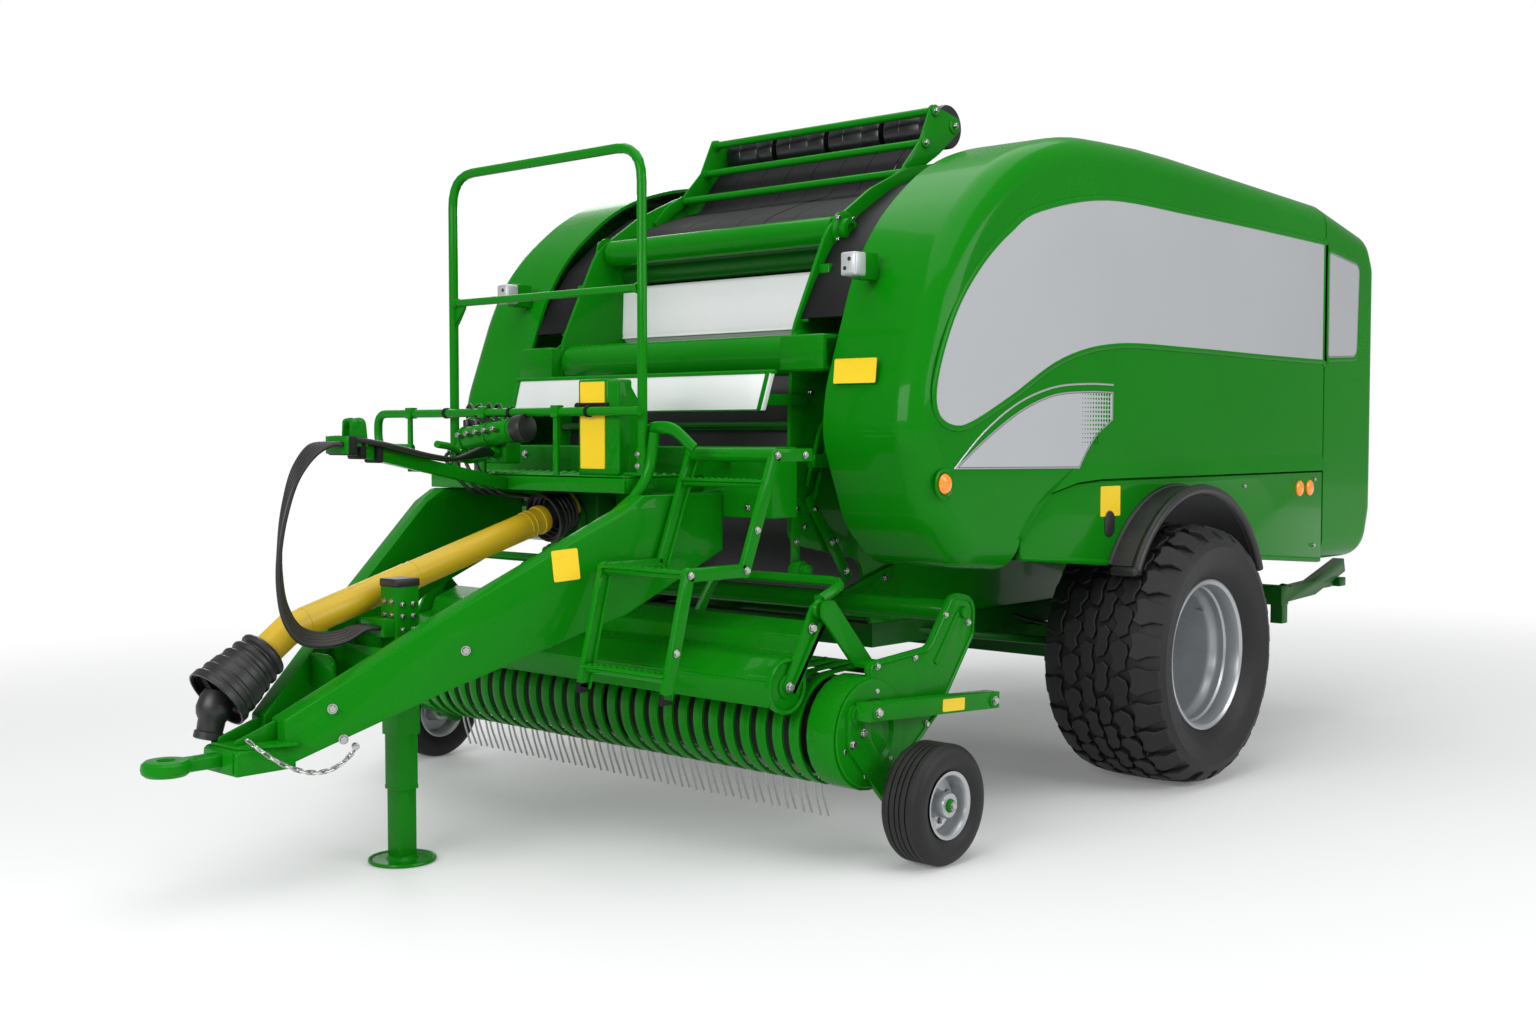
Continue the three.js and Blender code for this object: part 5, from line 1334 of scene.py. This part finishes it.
def make_ladder():
    inner, outer, stile, depth = 0.61, 1.0, 0.022, 0.046
    side = [(-2.65, 0.615), (-2.55, 1.0), (-2.29, 1.0), (-2.14, 1.375), (BEAM_FRONT, 1.375)]
    parts = []
    for x in (inner, outer):
        for a, b in zip(side, side[1:]):
            parts.append(plate("stile", ribbon([a, b], depth - 0.002), "X", x + 0.0005, x + stile - 0.0005,
                               0.003))
            back = (Vector(b) - Vector(a)).normalized()
            off = Vector((-back.y, back.x)) * (depth / 2 - 0.006)
            away = 1 if x == inner else -1
            lo, hi = sorted((x + stile / 2, x + stile / 2 + away * 0.02))
            parts.append(plate("flange", ribbon([tuple(Vector(p) - off) for p in (a, b)], 0.006), "X", lo, hi,
                               0.001))
        for y, z in side[1:4]:
            parts.append(rod("knuckle", (x + 0.001, y, z), (x + stile - 0.001, y, z), depth / 2 + 0.002, 28,
                             0.003))
    for y, z in ((-2.636, 0.68), (-2.55, 1.0), (-2.18, 1.28)):
        parts.append(tube("tread", [(inner + 0.01, y, z - 0.001), (outer + 0.01, y, z - 0.001)], 0.0135, 16))
        parts.append(block("tread", (inner + 0.012, y - 0.024, z + 0.004),
                           (outer + 0.008, y + 0.024, z + 0.014), 0.003))
        grid = [(inner + 0.045 + 0.03 * k, y + dy) for k in range(11) for dy in (-0.012, 0.012)]
        parts += [rod("grip", (u, v, z + 0.013), (u, v, z + 0.0175), 0.007, 8, 0, tip=0.0045) for u,
                  v in grid]
    parts.append(tube("top_tube", [(inner + 0.006, -2.14, 1.375), (outer + 0.006, -2.14, 1.375)], 0.0238, 24))
    painted(join("access_ladder", parts), "root", "ladder")
    feet = [block("foot", (x + 0.0005, -2.672, 0.6), (x + stile - 0.0005, -2.628, 0.636), 0.004)
            for x in (inner, outer)]
    finished(join("ladder_feet", feet), "root", "black_rubber")
    heads = facing(1, outer + stile, (
        (-2.55, 1.0), (-2.29, 1.0), (-2.24, 1.13), (-2.14, 1.375), (-2.0, 1.375), (-2.615, 0.76)))
    bolts("ladder_bolts", heads, "root", 0.01)
    # an arched bracket beside the ladder carries a curved strap down to the beam
    arch = tube("arch", [(0.515, -2.25, 1.301), (0.515, -2.25, 1.468), (0.64, -2.25, 1.468),
                         (0.735, -2.235, 1.395)],
                0.022, 12, bend=0.045)
    for vertex in arch.data.vertices:
        vertex.co.y = at(0, -2.25, 0).y + (vertex.co.y - at(0, -2.25, 0).y) * 0.45
    strap = tube("strap", [(0.56, -2.262, 1.45), (0.548, -2.275, 1.3), (0.52, -2.38, 1.17),
                           (0.5, -2.46, 1.06), (0.492, -2.5, 0.99)], 0.019, 12, bend=0.07)
    painted(join("strap_bracket", [arch, strap]), "root")


# ---------------- driveline
def bellows(length, narrow, wide, folds):
    """A ribbed rubber boot as a closed profile, open at its wide end."""
    outside, wall = [], 0.006
    for k in range(folds):
        radius = narrow + (wide - narrow) * k / (folds - 1)
        step = length / folds
        start = k * step
        for share, drop in ((0.0, 0.014), (0.16, 0.004), (0.32, 0.0), (0.54, 0.0), (0.7, 0.004),
                            (0.88, 0.014)):
            outside.append((radius - drop, start + share * step))
    outside.append((wide - 0.002, length - 0.022))
    outside.append((wide, length - 0.018))
    outside.append((wide, length))
    inside = [(wide - wall, length), (wide - wall - 0.004, length * 0.6), (narrow - wall - 0.01, 0.012)]
    return outside + inside


SHAFT_X, SHAFT_SLOPE = -0.1, (1.13 - 0.806) / (3.29 - 2.205)


def axis_point(y):
    """A point on the shaft's straight axis."""
    return Vector((SHAFT_X, y, 1.13 + SHAFT_SLOPE * (y + 2.205)))


def make_driveline():
    casing = detailed("gearbox", 0.012, 4)
    flange = turned("flange", [(0, 0), (0.088, 0), (0.088, 0.014), (0.074, 0.018), (0.066, 0.03), (0, 0.03)],
                    (SHAFT_X, -2.06, 1.115), (0, -1, 0), 40)
    painted(join("gear_case", [casing, flange]), "root", "gearbox", material=SHADE_GREEN)

    tube_rear, elbow = axis_point(-2.205), axis_point(-3.29)
    boot_end = Vector((SHAFT_X, -3.552, 0.606))
    down = (boot_end - elbow).normalized()
    tube_end = elbow + down * 0.104
    shaft = tube("shaft", [axis_point(-2.206), elbow, tube_end], 0.0505, 40, bend=0.045)
    back = (tube_rear - elbow).normalized()
    rings = []
    for share, radius, width in ((0.03, 0.0545, 0.02), (0.065, 0.0525, 0.01), (0.085, 0.0525, 0.01),
                                 (0.55, 0.052, 0.006)):
        place = tube_rear.lerp(elbow, share)
        rings.append(turned("ring", [(0.049, 0), (radius, 0.002), (radius, width - 0.002), (0.049, width)],
                            place, back, 40))
    sleeve = turned("sleeve", [(0.049, 0.0), (0.0518, 0.002), (0.0518, 0.118), (0.049, 0.12)], tube_end,
                    -down, 40)
    inner = turned("inner", [(0.049, 0.0), (0.0517, 0.002), (0.0517, 0.43), (0.049, 0.432)],
                   elbow + back * 0.06, back, 40)
    finished(join("shaft_guard", [shaft, sleeve, inner, *rings]), "root", "yellow_plastic",
             "drive_shaft_tube")

    length = (boot_end - tube_end).length - 0.001
    front = turned("boot", bellows(length, 0.084, 0.111, 6), tube_end + down * 0.001, down, 64)
    neck = turned("collar", [(0.045, 0.0), (0.06, 0.0), (0.076, 0.01), (0.08, 0.02), (0.045, 0.02)],
                  tube_end + down * 0.001, down, 48)
    yoke_way = (Vector((SHAFT_X, -3.59, 0.45)) - boot_end).normalized()
    yoke = turned("yoke", [(0, -0.03), (0.04, -0.03), (0.05, -0.01), (0.054, 0.01), (0.057, 0.03),
                           (0.052, 0.052), (0.043, 0.066), (0.041, 0.1), (0.047, 0.104), (0.047, 0.124),
                           (0.04, 0.128), (0.024, 0.128), (0.022, 0.06), (0, 0.06)], boot_end, yoke_way, 40)
    ears = [block("ear", boot_end + Vector((s * 0.03 - 0.009, -0.03, -0.055)),
                  boot_end + Vector((s * 0.03 + 0.009, 0.03, 0.02)), 0.006, 3) for s in (1, -1)]
    finished(join("front_boot", [front, neck, yoke, *ears]), "root", "black_plastic",
             "drive_shaft_front_boot")

    rear_start = axis_point(-2.06 - 0.0003 - 0.062 * math.sin(math.atan(SHAFT_SLOPE)))
    reach = (rear_start - tube_rear).length - 0.001
    rear_boot = turned("rear", bellows(reach - 0.02, 0.08, 0.0965, 5), rear_start - back * 0.02, -back, 56)
    core = rod("core", rear_start, tube_rear, 0.046, 32)
    finished(join("rear_boot", [rear_boot, core]), "root", "black_plastic", "drive_shaft_rear_boot")
    band = turned("yellow_collar", [(0.06, 0.0), (0.066, 0.001), (0.066, 0.02), (0.06, 0.021)], rear_start,
                  -back, 48)
    finished(join("rear_boot_collar", [band]), "root", "yellow_plastic")


def make_hose_arm():
    rear, front = (-0.15, -2.3595, 1.262), (0.0, -3.15, 1.405)
    parts = [detailed("hose_arm", 0.004, 3)]
    for s in (1, -1):
        parts.append(rod("pin", (s * 0.022 - 0.006, -3.11, 1.482), (s * 0.022 + 0.006, -3.11, 1.482), 0.016,
                         20, 0.002))
    wrap = [(-0.17, -2.42, 1.36), (-0.19, -2.5, 1.345), (-0.1, -2.62, 1.4), (-0.06, -2.72, 1.41)]
    parts.append(tube("stay", wrap, 0.013, 12, bend=0.05))
    painted(join("hose_arm_beam", parts), "root", "hose_arm")
    clamp = [block("band", (-0.056, -3.166, 1.376), (0.076, -3.134, 1.44), 0.008, 3)]
    for share in (0.3, 0.62):
        p = Vector(front).lerp(Vector(rear), share * 0.3)
        clamp.append(block("band", (p.x - 0.04, p.y - 0.014, p.z - 0.03),
                           (p.x + 0.04, p.y + 0.014, p.z + 0.045), 0.008, 3))
    finished(join("hose_clamps", clamp), "root", "black_rubber")
    # the hoses' far lengths run in a flat bundle along the arm into the valve block
    runs = []
    for i, x in enumerate(HOSE_X):
        line = [(x, -3.15, 1.433), (x * 0.9 - 0.01, -3.0, 1.412), (x * 0.7 - 0.04, -2.8, 1.372),
                (-0.11 + 0.35 * x, -2.62, 1.352), (-0.14 + 0.3 * x, -2.46, 1.368 + 0.008 * i),
                (-0.2, -2.36, 1.37)]
        runs.append(tube("run", line, 0.009, 12, bend=0.06))
    finished(join("hose_bundle", runs), "root", "hose_rubber")


VALVE_X = [-0.43 + 0.058 * k for k in range(5)]


def make_valves():
    """The valve block on the deck's front right: a stack of castings with solenoids, unions and plugs."""
    body = [block("valve", (-0.46, -2.338, 1.335), (-0.16, -2.262, 1.415), 0.008, 3),
            block("valve", (-0.42, -2.332, 1.405), (-0.2, -2.268, 1.455), 0.006, 3)]
    body += [rod("spool", (x, -2.372, 1.378), (x, -2.336, 1.378), 0.021, 24, 0.003) for x in VALVE_X]
    body.append(rod("drum", (-0.34, -2.385, 1.425), (-0.07, -2.352, 1.462), 0.044, 40, 0.006))
    body += [turned("ring", [(0.04, 0), (0.048, 0.001), (0.048, 0.01), (0.04, 0.011)],
                    (x, -2.385 + 0.122 * (x + 0.34),
                     1.425 + 0.137 * (x + 0.34)), (0.27, 0.033, 0.037), 40) for x in (-0.335, -0.21, -0.1)]
    painted(join("valve_block", body), "root")
    coils = [rod("coil", (x, -2.3, 1.452), (x, -2.3, 1.5), 0.019, 24, 0.004) for x in VALVE_X]
    coils.append(rod("cap", (-0.075, -2.352, 1.462), (-0.02, -2.345, 1.47), 0.052, 32, 0.006))
    finished(join("valve_coils", coils), "root", "black_plastic")
    unions = []
    for k, x in enumerate(VALVE_X):
        unions.append(rod("union", (x, -2.392, 1.378), (x, -2.37, 1.378), 0.012, 6, 0.001))
        unions.append(rod("plug", (x, -2.3, 1.5), (x, -2.3, 1.51), 0.009, 6, 0.001))
        unions.append(rod("union", (-0.3 + 0.045 * k, -2.425 + 0.005 * k, 1.435 + 0.006 * k),
                          (-0.3 + 0.045 * k, -2.455 + 0.005 * k, 1.442 + 0.006 * k), 0.01, 6, 0.001))
    finished(join("valve_unions", unions), "root", "chrome")
    pipes = []
    for k, x in enumerate(VALVE_X[:4]):
        pipes.append(tube("pipe", [(x, -2.385, 1.378), (x + 0.01, -2.42, 1.36), (x + 0.06, -2.425, 1.3),
                                   (x + 0.1, -2.36, 1.225), (x + 0.1, -2.1, 1.2)], 0.007, 10, bend=0.03))
        pipes.append(tube("pipe", [(x, -2.3, 1.5), (x, -2.305, 1.545), (x + 0.05, -2.325, 1.56),
                                   (x + 0.11, -2.345, 1.5), (-0.06 - 0.012 * k, -2.352, 1.462)], 0.007, 10,
                          bend=0.03))
    finished(join("valve_pipes", pipes), "root", "hose_rubber")


# ---------------- pickup
TINE_PITCH, TINE_COUNT = 0.07611, 27
DRUM_Y, DRUM_Z = -1.87, 0.43
PANEL_OUT = 1.2  # the side plates' outer faces


def make_pickup_side(side, word):
    x0, x1 = span(side, 1.185, PANEL_OUT)
    outline = rounded([(-1.876, 0.623, 0), (-1.89, 0.67, 0.03), (-1.54, 0.695, 0.06), (-1.4, 0.878, 0.07),
                       (-1.25, 0.85, 0.07), (-1.26, 0.71, 0.06), (-1.47, 0.45, 0.06), (-1.71, 0.275, 0.08),
                       (-1.87, 0.237, 0)], 56)
    panel = detailed("pickup_side_" + word, 0.004, 3)
    bead_line = [(side * (PANEL_OUT + 0.0005), y, z) for y, z in grown(clean(outline), -0.014)]
    bead = tube("bead", bead_line, 0.006, 10, closed=True)
    dish = turned("dish", [(0.178, -0.001), (0.186, 0.004), (0.18, 0.009), (0.12, 0.011), (0.112, 0.005),
                           (0.104, -0.001)], (side * PANEL_OUT, DRUM_Y, DRUM_Z), (side, 0, 0), 64)
    cap = turned("cap", [(0, 0.0), (0.062, 0.0), (0.062, 0.01), (0.054, 0.018), (0, 0.02)],
                 (side * PANEL_OUT, DRUM_Y, DRUM_Z), (side, 0, 0), 40)
    rib = plate("rib", ribbon([(-1.5, 0.63), (-1.36, 0.8)], 0.022), "X", x0 + side * 0.006, x1 + side * 0.006,
                0.004)
    panel = join("pickup_panel_" + word, [panel, bead, dish, cap, rib])
    painted(panel, "pickup", "pickup_side_" + word)
    heads = facing(side, PANEL_OUT + 0.0005, (
        (-1.83, 0.655), (-1.62, 0.665), (-1.44, 0.8), (-1.3, 0.76), (-1.55, 0.42), (-1.68, 0.33)))
    ring = around(DRUM_Y, DRUM_Z, 0.145, [math.tau * k / 6 + 0.3 for k in range(6)])
    bolts("pickup_bolts_" + word, heads + facing(side, PANEL_OUT + 0.0015, ring), "pickup", 0.01)


def make_pickup():
    """The slotted bands, the reel inside them and the curved double tines on its front bar."""
    band_line = [(-1.66, 0.633), *arc(DRUM_Y, DRUM_Z, 0.1925, 90, 270, 26), (-1.72, 0.249)]
    band = plate("band", ribbon(band_line, 0.005), "X", -0.0224, 0.0224, 0)
    soften(band, 0.0016, 2, 40)
    for x in (-0.02, 0.02):  # pressed edges that guide the tines
        flange = plate("flange", ribbon(arc(DRUM_Y, DRUM_Z, 0.1895, 92, 262, 24), 0.009), "X", x - 0.0016,
                       x + 0.0016, 0)
        band = join("band", [band, flange])
    bands = [copy(band, Matrix.Translation((-1.0275 + k * TINE_PITCH, 0, 0))) for k in range(28)]
    bpy.data.objects.remove(band)
    bands.append(block("top_bar", (-1.0845, -1.7, 0.5995), (1.0845, -1.64, 0.6325), 0.005))
    bands.append(block("low_bar", (-1.0845, -1.76, 0.2435), (1.0845, -1.71, 0.2745), 0.005))
    painted(join("pickup_band_set", bands), "pickup", "pickup_bands")
    heads = [((-0.9735 + k * 2 * TINE_PITCH, -1.692, 0.6335), (0, 0, 1)) for k in range(13)]
    bolts("band_bolts", heads, "pickup", 0.008, "green_paint")
    drum = turned("drum", both_sides([(0.126, -1.075), (0.136, -1.078)]), (0, DRUM_Y, DRUM_Z), steps=40)
    shed = plate("shed", ribbon(arc(DRUM_Y, DRUM_Z, 0.181, 20, 100, 14), 0.004), "X", -1.08, 1.08, 0)
    drum = join("drum", [drum, shed])
    painted(join("tine_reel", [detailed("pickup_reel", 0.002, 2), drum]), "pickup", "pickup_reel",
            material=DARK)

    root = (-1.9, 0.28)
    parts = [rod("bar", (-1.0835, *root), (1.0835, *root), 0.0125, 20, 0.001)]
    fingers = []
    for x, lean in ((-0.0125, 0.0), (0.0125, 0.012)):
        path = bent([(x, -1.9035, 0.268), (x, -1.893 + lean * 0.4, 0.205), (x, -1.862 + lean, 0.1135)], 0.04)
        fingers.append(tube("tine", path, 0.0041, 10))
    half = [(0.0128, -0.0155), (0.0195, -0.0145), (0.0195, -0.0095), (0.0165, -0.0075), (0.0195, -0.0055)]
    coil = turned("coil", both_sides(half), (0, *root), steps=20)
    seed = join("tine_seed", [coil, *fingers])
    for k in range(TINE_COUNT):
        parts.append(copy(seed, Matrix.Translation((-0.9894 + k * TINE_PITCH, 0, 0))))
    bpy.data.objects.remove(seed)
    finished(join("tine_set", parts), "pickup", "tine_steel", "tine_bar")


def make_pivot_beam():
    painted(detailed("pickup_pivot_beam", 0.003, 2, 40), "root", "pickup_pivot_beam")
    spots = ((-1.12, 0.78), (-1.12, 0.88))
    bolts("pivot_bolts", facing(1, 0.6755, spots) + facing(-1, 0.6755, spots), "root")


def make_guard():
    """The bent hood over the crop, with its round end discs, roller, arms and front hoop."""
    hood = detailed("crop_guard", 0.0025, 2)
    extras, heads = [], []
    for s in (1, -1):
        disc_x = s * 1.0425
        extras.append(turned("rim", [(0.08, 0.0), (0.0945, 0.0), (0.0945, 0.008), (0.088, 0.012),
                                     (0.08, 0.006)],
                             (disc_x, -2.12, 0.602), (s, 0, 0), 56))
        extras.append(turned("cup", [(0, 0), (0.034, 0), (0.03, 0.012), (0.012, 0.016), (0, 0.016)],
                             (s * 1.06, -1.97, 0.852), (s, 0, 0), 32))
        extras.append(plate("arm_rib", rounded([(-2.12, 0.59, 0.02), (-2.1, 0.57, 0.02), (-1.95, 0.8, 0.02),
                                                (-1.965, 0.825, 0.02)], 24), "X", s * 1.06, s * 1.072, 0.003,
                            3))
        heads += facing(s, 1.0605, ((-2.125, 0.602), (-2.01, 0.79)))
    extras.append(tube("lip", [(-1.03, -2.191, 0.543), (1.03, -2.191, 0.543)], 0.0065, 12))
    folds = [(-2.1905, 0.541), (-2.206, 0.622), (-2.11, 0.686), (-2.03, 0.698), (-2.01, 0.752), (-1.9, 0.792)]
    extras.append(plate("sheet", ribbon(bent(folds, 0.014), 0.0115), "X", -1.0365, 1.0365, 0.001))
    painted(join("crop_hood", [hood, *extras]), "crop_guard", "crop_guard")
    bolts("hood_bolts", heads, "crop_guard", 0.015)


# ---------------- gauge wheels
def make_gauge(side, word):
    link = detailed("gauge_arm_" + word, 0.004, 3)
    pins = ((-1.93, 0.5175), (-1.25, 0.477))
    extras = [rod("boss", (side * 1.28, y, z), (side * 1.287, y, z), 0.026, 28, 0.002) for y, z in pins]
    label("gauge_plate_" + word, (side * 1.2825, -1.5, 0.492), (0.13, 0.044), (side, 0, 0), "pickup",
          -0.06 * side)
    painted(join("gauge_link_" + word, [link, *extras]), "pickup", "gauge_arm_" + word)
    heads = facing(side, 1.2865, pins) + facing(side, 1.2205, ((-1.93, 0.44), (-1.985, 0.41)))
    bolts("gauge_bolts_" + word, heads, "pickup", 0.013)

    x, y, z = side * 1.397, -1.77, 0.2055
    half = [(0.1065, 0.0615), (0.118, 0.0635), (0.135, 0.074), (0.155, 0.0805), (0.175, 0.079),
            (0.19, 0.0735), (0.199, 0.064), (0.202, 0.056)]
    ribs = []
    for low, high in ((0.0535, 0.036), (0.031, 0.012)):
        ribs += [(0.2045, low), (0.2052, (low + high) / 2), (0.2045, high), (0.1975, high - 0.0012),
                 (0.1975, high - 0.0038)]
    ribs += [(0.2046, 0.0072), (0.2052, 0.0)]
    finished(turned("small_tyre_" + word, both_sides(half + ribs), (x, y, z), (1, 0, 0), 80),
             "gauge_wheel_" + word, "tyre_rubber", "gauge_tyre_" + word)
    rim_half = [(0.1055, 0.06), (0.112, 0.067), (0.115, 0.0695), (0.112, 0.07), (0.102, 0.066),
                (0.096, 0.056), (0.094, 0.03), (0.09, 0.01), (0.05, 0.006), (0.045, 0.01),
                (0.044, 0.06), (0.04, 0.068), (0.0235, 0.068)]
    seat = [(0.1055, -0.05), (0.1035, -0.03), (0.103, 0.0), (0.1035, 0.03), (0.1055, 0.05)]
    finished(turned("small_rim_" + word, both_sides(rim_half) + seat, (x, y, z), (side, 0, 0), 64),
             "gauge_wheel_" + word, "silver_paint", "gauge_rim_" + word)
    nuts = facing(side, 1.4075, around(y, z, 0.07, [math.tau * k / 4 + 0.4 for k in range(4)]))
    bolts("small_wheel_nuts_" + word, nuts, "gauge_wheel_" + word, 0.009)
    painted(turned("stub_end_" + word, [(0, 0), (0.0215, 0), (0.0215, 0.04), (0.019, 0.044), (0, 0.045)],
                   (side * 1.4315, y, z), (side, 0, 0), 32), "pickup")
    bolts("stub_bolt_" + word, facing(side, 1.4755, ((y, z),)), "pickup", 0.012)


# ---------------- tailgate
def make_tailgate():
    painted(detailed("tailgate_shell", 0.004, 2), "tailgate", "tailgate_shell")
    back = 2.196
    parts = []
    for z in (1.13, 1.42, 1.72, 2.02, 2.28):
        parts.append(block("rib", (-0.64, back - 0.003, z - 0.019), (0.64, back + 0.013, z + 0.019), 0.005,
                           3))
    for x in (-0.63, 0.59):
        parts.append(block("upright", (x, back - 0.003, 1.1), (x + 0.04, back + 0.008, 2.3), 0.004, 2))
    channel = bent([(2.185, 2.31), (2.09, 2.44), (1.9, 2.49), (1.55, 2.562), (0.56, 2.562)], 0.1)
    for x in (-0.6, -0.2, 0.2, 0.6):
        parts.append(plate("roof_rib", ribbon(channel, 0.012), "X", x - 0.02, x + 0.02, 0.003))
    under = bent([(0.72, 0.845), (2.0, 0.845), (2.14, 0.93), (2.186, 1.06)], 0.1)
    for x in (-0.56, 0.0, 0.56):
        parts.append(plate("floor_rib", ribbon(under, 0.012), "X", x - 0.02, x + 0.02, 0.003))
    for s in (1, -1):
        parts.append(rod("latch_pin", (s * 0.64, 1.8, 0.97), (s * 0.74, 1.8, 0.97), 0.022, 24, 0.003))
    painted(join("gate_ribs", parts), "tailgate")
    heads = [((s * x, back + 0.0125, z), (0, 1, 0)) for s in (1, -1) for x in (0.6, 0.3) for z in
             (1.13, 1.42, 1.72, 2.02, 2.28)]
    bolts("gate_bolts", heads, "tailgate", 0.0085)
    for side, word in SIDES:
        y = 2.2
        x0, x1 = span(side, 0.955, 1.165)
        finished(block("tail_lamp_box_" + word, (x0, y - 0.012, 1.16), (x1, y + 0.012, 1.255), 0.008, 4),
                 "tailgate", "black_plastic")
        for name, near, far, made in (("tail_lamp_", 1.058, 1.157, RED), ("turn_lamp_", 0.963, 1.052, AMBER)):
            x0, x1 = span(side, near, far)
            finished(block(name + word, (x0, y + 0.002, 1.169), (x1, y + 0.018, 1.246), 0.006, 4), "tailgate",
                     "amber_lens", material=made)
        label("rear_plate_" + word, (side * 0.98, y, 1.52), (0.16, 0.1), (0, 1, 0), "tailgate")
        x0, x1 = span(side, 0.83, 0.93)
        painted(block("top_fitting_" + word, (x0, 1.72, 2.512), (x1, 1.8, 2.566), 0.012, 3), "tailgate")
        flange = rounded([(1.563, 0.86, 0.02), (1.605, 0.86, 0.02), (1.605, 2.5, 0.02), (1.563, 2.5, 0.02)],
                         16)
        painted(plate("seam_flange_" + word, flange, "X", side * 1.255, side * 1.262, 0.002), "tailgate",
                material=SHADE_GREEN)


def make_rear_frame():
    """Rear brackets under the gate, tie bars and the bale ramp's short arms."""
    parts = []
    for side, _ in SIDES:
        line = [(side * 1.12, 1.47, 0.69), (side * 1.12, 1.6, 0.672), (side * 1.12, 2.02, 0.672)]
        parts.append(tube("brace", line, 0.02, 14, bend=0.04))
        parts.append(block("pad", (side * 1.12 - 0.04, 2.06, 0.655), (side * 1.12 + 0.04, 2.138, 0.7), 0.006))
        parts.append(tube("tie", [(side * 0.63, -0.9, 0.655), (side * 0.96, -0.2, 0.56)], 0.018, 12))
    parts.append(tube("cross_tie", [(-0.6, -0.6, 0.64), (0.6, -0.6, 0.64)], 0.022, 14))
    parts.append(tube("cross_tie", [(-0.6, 0.85, 0.64), (0.6, 0.85, 0.64)], 0.022, 14))
    painted(join("rear_braces", parts), "root", material=SHADE_GREEN)
    brake = [tube("line", [(s * 0.59, -1.1, 0.7), (s * 0.59, -0.3, 0.7), (s * 0.72, -0.1, 0.62),
                           (s * 0.86, -0.02, 0.6)], 0.008, 10, bend=0.06) for s in (1, -1)]
    finished(join("brake_lines", brake), "root", "hose_rubber")


# ---------------- assembly
STRUCTURE = {  # frame pieces that keep their own shape: slot, finish, edge radius
    # The chassis frame takes the darker green copy as painted shade; the chamber shell takes the near-black
    # enamel as painted shadow.
    "chassis_frame": ("green_paint", SHADE_GREEN, 0.005),
    "chamber_shell": ("dark_paint", DARK, 0.002),
    "chamber_wall_left": ("green_paint", GREEN, 0.003),
    "chamber_wall_right": ("green_paint", GREEN, 0.003),
    "cover_liner_left": ("black_rubber", RUBBER, 0.002),
    "cover_liner_right": ("black_rubber", RUBBER, 0.002),
}


def make_structure():
    for name, (slot, finish, width) in STRUCTURE.items():
        finished(detailed(name, width), "root", slot, name, material=finish)


make_camera()
make_hoses()
make_floor()
make_world()
make_lamps()
for side, word in SIDES:
    make_side(side, word)
    make_main_tyre(word, side)
    make_main_rim(word, side)
    make_fender(word, side)
    make_skirt(word, side)
    make_wall_details(side, word)
    make_pickup_side(side, word)
    make_gauge(side, word)
make_axle()
make_chamber_front()
make_front_lamps()
make_magazine()
make_drawbar()
make_chain()
make_jack()
make_deck()
make_hand_rail()
make_front_links()
make_control_box()
make_ladder()
make_driveline()
make_hose_arm()
make_valves()
make_pickup()
make_pivot_beam()
make_guard()
make_tailgate()
make_rear_frame()
make_structure()
